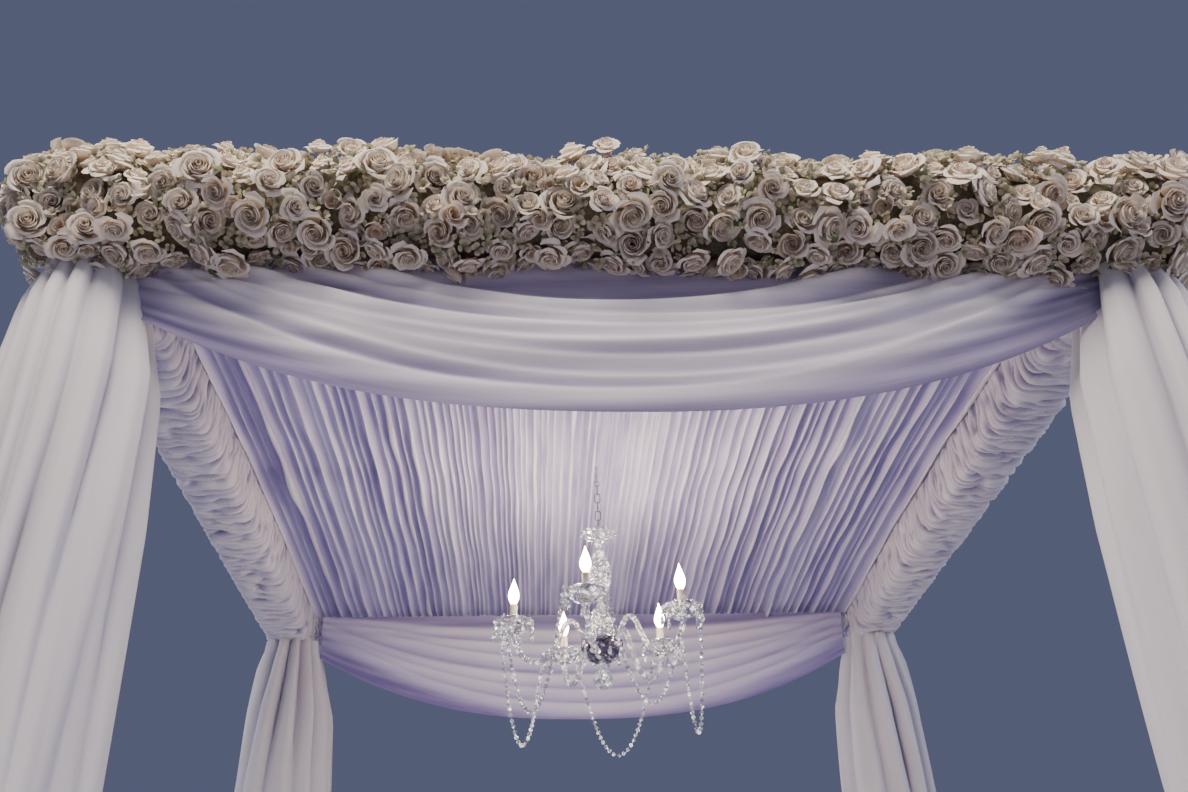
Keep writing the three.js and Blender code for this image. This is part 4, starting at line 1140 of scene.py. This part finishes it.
# %% [markdown]
# ## Turned and cut pieces of the chandelier
# Almost every piece here is round and was turned, blown or pressed in a round mould, so it is a profile
# spun about its own axis. A second rule then cuts it: flutes on the stem, petals on the bowl and scallops
# on the rims. Glass needs a closed body to bend light properly, so each end is closed.

# %% Turn and cut
ARMS = 5
FIRST_ARM = radians(-102)
ARM_REACH = 0.272
HUB_Z = 2.484
DISH_Z = 2.500
arm_angles = [FIRST_ARM + tau * k / ARMS for k in range(ARMS)]
arm_ends = [(ARM_REACH * cos(angle), ARM_REACH * sin(angle)) for angle in arm_angles]


def through(points, steps):
    """Smooth line through the given points, with that many steps from each one to the next."""
    p = np.array(points, float)
    p = np.concatenate([[2 * p[0] - p[1]], p, [2 * p[-1] - p[-2]]])
    t = np.linspace(0, 1, steps, endpoint=False)[:, None]
    made = []
    for a, b, c, d in zip(p, p[1:], p[2:], p[3:]):
        made.append((2 * b + (c - a) * t + (2 * a - 5 * b + 4 * c - d) * t ** 2
                     + (3 * b - a - 3 * c + d) * t ** 3) / 2)
    return np.concatenate(made + [p[-2:-1]])


def spun(name, profile, around, cut=None, centre=(0, 0, 0), smooth=True, looped=False):
    """A profile of (radius, height) spun round an axis. cut(turn, share of the profile) scales the radius,
    and looped joins the profile's end to its start."""
    radius, height = np.array(profile, float).T[:, :, None]
    turn = np.linspace(0, tau, around, endpoint=False)[None, :]
    share = np.linspace(0, 1, len(radius))[:, None]
    r = radius * (cut(turn, share) if cut else 1)
    points = together(centre[0] + r * np.cos(turn), centre[1] + r * np.sin(turn), centre[2] + height)
    if looped:
        points = np.concatenate([points, points[:1]])
    return closed_body(grid_mesh(name, points, ring=True, smooth=smooth), merge=looped)


def hang(mesh, finish, replaced, slot="crystal"):
    """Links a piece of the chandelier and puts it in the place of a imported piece."""
    settle(link(mesh, finish), "chandelier", slot, replaced)


print(ARMS, "arms reach", ARM_REACH, "m")

# %% [markdown]
# The stem is a fluted glass baluster between two chrome fittings: the hub that holds the arms, with a rod
# down into the bowl, and the neck with the loop that hangs in the chain.

# %% Turn the stem
TOP_DISH_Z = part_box("chandelier_top_dish")[0].z
# radius, and height over the hub's middle
BALUSTER = [(0.0285, 0.0105), (0.034, 0.016), (0.038, 0.028), (0.034, 0.061), (0.022, 0.091), (0.014, 0.116),
            (0.017, 0.141), (0.028, 0.169), (0.036, 0.200), (0.0355, 0.232), (0.026, 0.268), (0.016, 0.296),
            (0.012, 0.314), (0.013, 0.341)]
HUB = [(0.006, -0.0078), (0.036, -0.0078), (0.0425, -0.005), (0.044, 0.0), (0.0425, 0.005),
       (0.034, 0.0085), (0.028, 0.010)]
baluster = through([(radius, HUB_Z + rise) for radius, rise in BALUSTER], 5)
hub = through(HUB, 3)
hub[:, 1] += HUB_Z
rod = [(0.0045, 2.4206), (0.0045, HUB_Z - 0.0076)]
neck = [(0.0068, TOP_DISH_Z - 0.004), (0.0068, 2.8445), (0.0045, 2.8475), (0.001, 2.8478)]


def flutes(turn, share):
    """Twelve flutes, deepest where the baluster is thick."""
    swell = np.clip((baluster[:, 0:1] - 0.012) / 0.02, 0, 1)
    return 1 - 0.10 * swell * (1 - np.abs(np.cos(6 * turn)) ** 0.8)


def wire_loop(name, centre_z, radius, wire):
    """A ring of wire that stands upright in the XZ plane."""
    a = np.linspace(0, tau, 40, endpoint=False)[:, None]
    b = np.linspace(0, tau, 12, endpoint=False)[None, :]
    reach = radius + wire * np.cos(b)
    points = together(reach * np.cos(a), wire * np.sin(b), centre_z + reach * np.sin(a))
    return closed_body(grid_mesh(name, np.concatenate([points, points[:1]]), ring=True), merge=True)


loop_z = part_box("chandelier_stem")[1].z - 0.011
hang(spun("stem_baluster", baluster, 96, flutes), cut_crystal, "chandelier_stem")
for fitting in (spun("stem_hub", hub, 60), spun("stem_rod", rod, 16), spun("stem_neck", neck, 24),
                wire_loop("stem_loop", loop_z, 0.009, 0.002)):
    hang(fitting, chrome, "chandelier_stem")
print("stem turned")

# %% [markdown]
# Six pressed dishes catch the wax and carry the drops: one under each candle and a shallow one round the
# neck. The rim is cut into scallops and the underside into rays, so the section changes with the angle.

# %% Press the dishes
DISH_SIZE = (0.064, 0.033)       # radius and depth
TOP_DISH_SIZE = (0.060, 0.014)
DISH_WALL = 0.0042


def cut_dish(name, bottom, radius, depth, hole, scallops, centre=(0, 0)):
    """A pressed glass dish: thick rim cut into scallops, rays cut in its underside."""
    wall = DISH_WALL
    under = [(hole, 0), (0.35 * radius, 0.0), (0.78 * radius, 0.55 * depth), (0.97 * radius, depth - wall)]
    lip = [(radius, depth - 0.5 * wall), (0.985 * radius, depth)]
    inside = [(0.72 * radius, 0.6 * depth + wall), (0.33 * radius, wall + 0.0004), (hole, wall)]
    rows = np.concatenate([through(under, 5), lip, through(inside, 4)])

    def cut(turn, share):
        outward = np.clip((rows[:, 0:1] / radius - 0.4) / 0.6, 0, 1)
        lobes = 1 - np.abs(np.sin(scallops / 2 * turn)) ** 1.3
        rays = 1 - np.abs(np.sin(1.5 * scallops * turn))
        beneath = share < 0.55
        return 1 - 0.085 * outward ** 2 * lobes - 0.035 * outward * rays * beneath

    return spun(name, rows, 96, cut, (*centre, bottom), looped=True)


hang(cut_dish("top_dish", TOP_DISH_Z, *TOP_DISH_SIZE, 0.0073, 12), cut_crystal, "chandelier_top_dish")
for k, centre in enumerate(arm_ends, 1):
    hang(cut_dish(f"dish_{k}", DISH_Z, *DISH_SIZE, 0.005, 14, centre), cut_crystal, f"drip_dish_{k}")
print(ARMS + 1, "dishes cut")

# %% [markdown]
# The bowl closes the chandelier from below. It is smoky glass cut into twelve petals, with a ring of
# diamond cuts under its rim, and a clear ball hangs from its neck. The wall is 4 mm thick.

# %% Blow the bowl and the ball
def bowl_mesh():
    """Smoky bowl with petals cut outside, from its foot up to its rim and down again inside."""
    low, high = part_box("chandelier_bowl")
    foot, rim = low.z, high.z
    outside = through([(0.012, foot), (0.022, foot + 0.002), (0.046, foot + 0.014), (0.061, foot + 0.036),
                       (0.066, foot + 0.052), (0.0655, rim)], 6)
    inside = through([(0.0615, rim - 0.0005), (0.0615, rim - 0.014), (0.054, foot + 0.034),
                      (0.038, foot + 0.018), (0.014, foot + 0.0082), (0.001, foot + 0.0082)], 4)
    rows = np.concatenate([outside, inside])

    def cut(turn, share):
        shell = share < len(outside) / len(rows)
        height = (rows[:, 1:2] - foot) / (rim - foot)
        petals = 1 - np.abs(np.sin(6 * turn))
        band = np.exp(-(((height - 0.82) / 0.10) ** 2))
        diamonds = 1 - np.abs(np.sin(18 * turn + 9 * height))
        return 1 - shell * (0.06 * petals * np.clip(height * 3, 0, 1) + 0.03 * band * diamonds)

    return spun("bowl", rows, 108, cut)


hang(bowl_mesh(), violet_crystal, "chandelier_bowl")
# radius, and distance below the ball's top
BALL = [(0.011, 0), (0.012, 0.001), (0.0065, 0.008), (0.0065, 0.018), (0.014, 0.024), (0.0265, 0.038),
        (0.030, 0.053), (0.025, 0.068), (0.010, 0.080), (0.001, 0.083)]
ball = through(BALL, 4)
ball[:, 1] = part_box("chandelier_finial")[1].z - ball[:, 1]
hang(spun("ball", ball, 16, smooth=False), crystal, "chandelier_finial")
print("bowl and ball in place")

# %% [markdown]
# Each arm is a solid glass rod, drawn hot and twisted, so its section is a soft six-lobed star that turns
# as it goes. It leaves the hub, climbs over a crest, sinks into a trough and rises to its dish.

# %% Draw the arms
ARM_RADIUS = 0.0085
ARM_TWIST = 22            # radians that the star turns in a metre
# distance from the axis, and height over the hub's middle
ARM_ROUTE = [(0.0446, 0), (0.052, 0), (0.068, 0.028), (0.088, 0.056), (0.112, 0.046), (0.135, -0.004),
             (0.162, -0.056), (0.205, -0.076), (0.245, -0.056), (0.268, -0.014)]


def arm_mesh(name, angle):
    """Twisted glass rod along the arm's route, turned to that angle."""
    route = through([(reach, HUB_Z + rise) for reach, rise in ARM_ROUTE]
                    + [(ARM_REACH, DISH_Z - 0.008), (ARM_REACH, DISH_Z - 0.0006)], 7)
    step = np.gradient(route, axis=0)
    step /= np.linalg.norm(step, axis=1)[:, None]
    length = np.concatenate([[0], np.cumsum(np.linalg.norm(np.diff(route, axis=0), axis=1))])[:, None]
    around = np.linspace(0, tau, 24, endpoint=False)[None, :]
    star = ARM_RADIUS * (1 - 0.20 * (1 - np.abs(np.cos(3 * (around + length * ARM_TWIST)))))
    up, side = star * np.cos(around), star * np.sin(around)
    r = route[:, 0:1] - step[:, 1:2] * up
    z = route[:, 1:2] + step[:, 0:1] * up
    points = together(r * cos(angle) - side * sin(angle), r * sin(angle) + side * cos(angle), z)
    return closed_body(grid_mesh(name, points, ring=True))


for k, angle in enumerate(arm_angles, 1):
    hang(arm_mesh(f"arm_{k}", angle), crystal, f"chandelier_arm_{k}")
print(ARMS, "arms drawn")

# %% [markdown]
# A wax sleeve stands in each dish, with runs of wax below its rim, and carries a flame-shaped lamp. Each
# run is a low ridge with a thicker drop at its lower end, and no two candles have the same ones.

# %% Stand the candles and lamps
CANDLE_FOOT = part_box("candle_1")[0].z
CANDLE_TALL = 0.084
# radius and height of the candle's foot and of its rim
CANDLE_SHOE = [(0.0112, 0), (0.0117, 0.002)]
CANDLE_RIM = [(0.0121, 0.081), (0.0118, 0.083), (0.0102, 0.084), (0.0085, 0.0835), (0.0075, 0.079)]
BULB_FOOT, BULB_TOP = (corner.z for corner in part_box("bulb_1"))
# radius, and share of the lamp's height
FLAME = [(0.0078, 0.0), (0.0092, 0.06), (0.0138, 0.18), (0.0168, 0.34), (0.0142, 0.52), (0.0084, 0.72),
         (0.0034, 0.88), (0.0012, 0.97), (0.0003, 1.0)]


def candle_mesh(name, centre, seed):
    """Wax sleeve with a rounded rim and five runs of wax."""
    draw = np.random.default_rng(seed)
    places, lengths = draw.uniform(0, tau, 5), draw.uniform(0.25, 0.85, 5)
    side = together(0.0117, np.linspace(0.004, 0.078, 22))
    rows = np.concatenate([CANDLE_SHOE, side, CANDLE_RIM])

    def runs(turn, share):
        down = 1 - rows[:, 1:2] / CANDLE_TALL
        total = 0 * turn + 0 * share
        for where, long in zip(places, lengths):
            apart = np.abs((turn - where + pi) % tau - pi)
            wide = 0.30 + 0.14 * (down > 0.8 * long)
            thick = 0.7 + 0.6 * (down > 0.75 * long)
            total = total + np.exp(-((apart / wide) ** 2)) * (down < long) * thick
        return 1 + 0.055 * np.minimum(total, 1.3) * (rows[:, 0:1] > 0.0115)

    return spun(name, rows, 40, runs, (*centre, CANDLE_FOOT))


def lamp_mesh(name, centre):
    """Flame-shaped lamp that keeps the share of its height of each point."""
    tall = BULB_TOP - BULB_FOOT
    rows = through(FLAME, 4)
    rows[:, 1] *= tall
    mesh = spun(name, rows, 28, lambda turn, share: 1 + 0.02 * np.cos(5 * turn + 9 * share),
                (*centre, BULB_FOOT))
    places = np.empty(len(mesh.vertices) * 3)
    mesh.vertices.foreach_get("co", places)
    keep_value(mesh, "rim", (places[2::3] - BULB_FOOT) / tall)
    return mesh


for k, centre in enumerate(arm_ends, 1):
    hang(candle_mesh(f"candle_sleeve_{k}", centre, 600 + k), wax, f"candle_{k}", "candle")
    hang(lamp_mesh(f"flame_lamp_{k}", centre), lit_lamp, f"bulb_{k}", "bulb")
print("candles and lamps in place")

# %% [markdown]
# ## Beads and teardrops
# Strings of cut beads hang between neighbouring dishes, and teardrops hang under every rim. Both repeat,
# so Geometry Nodes thread them: one tree walks along each string at the bead pitch, and a second hangs a
# teardrop at every marked point of a rim. The strings are stiffly wired here, so they hang as they are.

# %% Make a bead, a teardrop and their trees
BEAD_PITCH = 0.0170
BEAD_SIZES = (0.93, 1.07)
BEAD_LEAN = 0.06          # radians that a bead or a drop leans at most
# radius and height, in half widths for the bead, with the little seed bead that follows it
BEAD = [(0.30, -0.92), (0.97, -0.38), (0.97, 0.38), (0.30, 0.92), (0.10, 0.98), (0.32, 1.30), (0.10, 1.62)]
# radius and height in metres, with the small bead that the drop hangs from
DROP = [(0.0005, -0.004), (0.0042, -0.0075), (0.0042, -0.0105), (0.0006, -0.014), (0.0018, -0.0165),
        (0.0048, -0.0255), (0.0070, -0.0355), (0.0066, -0.0405), (0.0034, -0.0465), (0.0004, -0.0490)]
bead_set = collection_of("bead_set", [spun("bead_model", BEAD, 7, smooth=False)])
drop_set = collection_of("drop_set", [spun("drop_model", DROP, 8, smooth=False)])


def thread_tree(name, models, along_string):
    """Tree that repeats one model, at a pitch along a string or at every point of a mesh."""
    tree, given = new_tree(name, {"Pitch": BEAD_PITCH, "Size": 0.0052}, 3)
    points, facing = given["Geometry"], {}
    if along_string:
        line = node(tree, "GeometryNodeMeshToCurve", {0: points})
        walked = node(tree, "GeometryNodeCurveToPoints", {"Curve": line, "Length": given["Pitch"]},
                      mode="LENGTH").outputs
        points, facing = walked["Points"], {"Rotation": walked["Rotation"]}
    size = node(tree, "FunctionNodeRandomValue", {2: BEAD_SIZES[0], 3: BEAD_SIZES[1], 8: given["Seed"]})
    scale = node(tree, "ShaderNodeMath", {0: size.outputs[1], 1: given["Size"]}, operation="MULTIPLY")
    box = node(tree, "GeometryNodeCollectionInfo", {
        "Collection": models, "Separate Children": True, "Reset Children": True})
    hung = node(tree, "GeometryNodeInstanceOnPoints", {
        "Points": points, "Instance": box, "Pick Instance": True, "Scale": scale, **facing})
    turn = node(tree, "FunctionNodeRandomValue", {
        0: (-BEAD_LEAN, -BEAD_LEAN, 0.0), 1: (BEAD_LEAN, BEAD_LEAN, tau), 8: given["Seed"]},
        data_type="FLOAT_VECTOR")
    turned = node(tree, "GeometryNodeRotateInstances", {
        "Instances": hung, "Rotation": turn, "Local Space": True})
    node(tree, "NodeGroupOutput", {0: made_of(tree, turned, bead_crystal)})
    return tree


beads_on_string = thread_tree("beads_on_string", bead_set, True)
drops_on_rim = thread_tree("drops_on_rim", drop_set, False)
print("beads", BEAD_PITCH * 1000, "mm apart")

# %% [markdown]
# A string is a chain of points along a hanging curve from the side of one dish to the next one's. The
# teardrops' marks are single points round a rim. Eight hang under each dish, six under the neck's dish,
# ten under the bowl's rim and four round the ball's neck.

# %% Thread the beads and hang the teardrops
GARLAND_SAG = 0.325
GARLAND_TURN = radians(60)       # from the arm's direction to where the string is tied
GARLAND_Z = 2.532
GARLAND_ROOM = 0.006             # from the rim to the string


def tied(k, turn):
    """Where a bead string is tied beside the rim of dish k."""
    angle, (x, y) = arm_angles[k % ARMS], arm_ends[k % ARMS]
    out = DISH_SIZE[0] + GARLAND_ROOM
    return np.array([x + out * cos(angle + turn), y + out * sin(angle + turn), GARLAND_Z])


def marks_mesh(points, joined=False):
    """Bare points, joined one to the next if they are a string."""
    mesh = bpy.data.meshes.new("marks")
    edges = [(k, k + 1) for k in range(len(points) - 1)] if joined else []
    mesh.from_pydata(np.array(points, float).tolist(), edges, [])
    return mesh


for k in range(ARMS):
    t = np.linspace(0, 1, 61)[:, None]
    line = mix(tied(k, GARLAND_TURN), tied(k + 1, -GARLAND_TURN), t)
    line[:, 2:] -= GARLAND_SAG * 4 * t * (1 - t)
    beads = made_real(f"beads_{k + 1}", marks_mesh(line, True), beads_on_string,
                      {"Size": 0.0064, "Seed": 11 + k})
    settle(beads, "chandelier", "crystal", f"bead_garland_{k + 1}")

# label, middle, radius and height of the marks, how many, angle of the first, size of a drop and its seed
rims = [(k, centre, 0.060, DISH_Z + 0.027, 8, angle + pi / 8, 1.0, 31 + k)
        for k, (centre, angle) in enumerate(zip(arm_ends, arm_angles), 1)]
rims += [("top", (0, 0), 0.021, TOP_DISH_Z + 0.003, 6, 0, 0.6, 51),
         ("bowl", (0, 0), 0.0665, 2.458, 10, 0, 0.9, 51),
         ("ball", (0, 0), 0.0155, 2.3865, 4, 0, 0.9, 51)]
for label, (x, y), radius, z, count, first, size, seed in rims:
    turns = first + tau * np.arange(count) / count
    marks = together(x + radius * np.cos(turns), y + radius * np.sin(turns), z)
    drops = made_real(f"drops_{label}", marks_mesh(marks), drops_on_rim, {"Size": size, "Seed": seed})
    settle(drops, "chandelier", "crystal")
print(ARMS, "strings threaded,", sum(rim[4] for rim in rims), "teardrops hung")

# %% [markdown]
# ## Floor and light
# The setting is a plain pale floor and a soft studio. A warm key lamp stands in front and above, because
# the photograph's flowers are lit from their tops. Two wide cool lamps fill the sides and one the back, a
# dim violet-blue world gives soft light all round, and a small lamp over each flame lights the middle
# of the ceiling.

# %% Set the stage
FLOOR_HALF = 14.0
corners = FLOOR_HALF * np.array([[(-1, -1, 0), (1, -1, 0)], [(-1, 1, 0), (1, 1, 0)]])
floor_finish, tree = new_material("pale_floor")
place = node(tree, "ShaderNodeTexCoord").outputs["Object"]
clouds = node(tree, "ShaderNodeTexNoise", {"Vector": place, "Scale": 1.5, "Detail": 2.0})
floor_colour = node(tree, "ShaderNodeValToRGB", {0: clouds}, [(0.3, "#b4b4be"), (0.7, "#bcbcc6")])
screed = node(tree, "ShaderNodeBsdfPrincipled", {"Base Color": floor_colour, "Roughness": 0.7})
node(tree, "ShaderNodeOutputMaterial", {"Surface": screed})
floor = link(grid_mesh("floor", corners), floor_finish)

world = bpy.data.worlds.new("studio")
world.use_nodes = True
sky = world.node_tree.nodes["Background"].inputs
sky["Color"].default_value = srgb("#8a91b8")
sky["Strength"].default_value = 0.38
bpy.context.scene.world = world
print("floor", 2 * FLOOR_HALF, "m wide")

# %% [markdown]
# The soft lamps are squares of 2 to 3.5 m, each turned to face a point of the canopy. The flame lamps are
# points just over the glass flames, hidden from the camera itself.

# %% Stand the lamps
# name, place, where it points, width, power and colour
SOFT_LAMPS = [
    ("key", (-0.9, -3.6, 6.1), (0, -1.3, 2.4), 2.0, 350, "#fff0e2"),
    ("fill", (5.4, -2.6, 4.4), (0, 0, 1.8), 3.5, 150, "#e9e9fa"),
    ("side", (-5.4, 1.4, 4.4), (0, 0, 1.8), 3.5, 150, "#e9e9fa"),
    ("back", (-2.5, 5.5, 5.5), (0, 0, 2.0), 3.5, 210, "#e4e4fb")]
FLAME_POWER = 5.0
FLAME_RISE = 0.035        # over the glass flame's tip


def stood_lamp(name, kind, place, power, colour):
    """A lamp of a kind at a place, and the object that carries it."""
    lamp = bpy.data.lights.new(name, kind)
    lamp.energy = power
    lamp.color = srgb(colour)[:3]
    stand = bpy.data.objects.new(name, lamp)
    stand.location = place
    bpy.context.scene.collection.objects.link(stand)
    return lamp, stand


for name, place, aim, width, power, colour in SOFT_LAMPS:
    lamp, stand = stood_lamp(name, "AREA", place, power, colour)
    lamp.size = width
    stand.rotation_euler = (Vector(aim) - Vector(place)).to_track_quat("-Z", "Y").to_euler()
for x, y in arm_ends:
    flame, stand = stood_lamp("flame", "POINT", (x, y, BULB_TOP + FLAME_RISE), FLAME_POWER, "#ffe9cc")
    flame.shadow_soft_size = 0.02
    stand.visible_camera = False
print(len(SOFT_LAMPS), "soft lamps and", ARMS, "flame lamps")
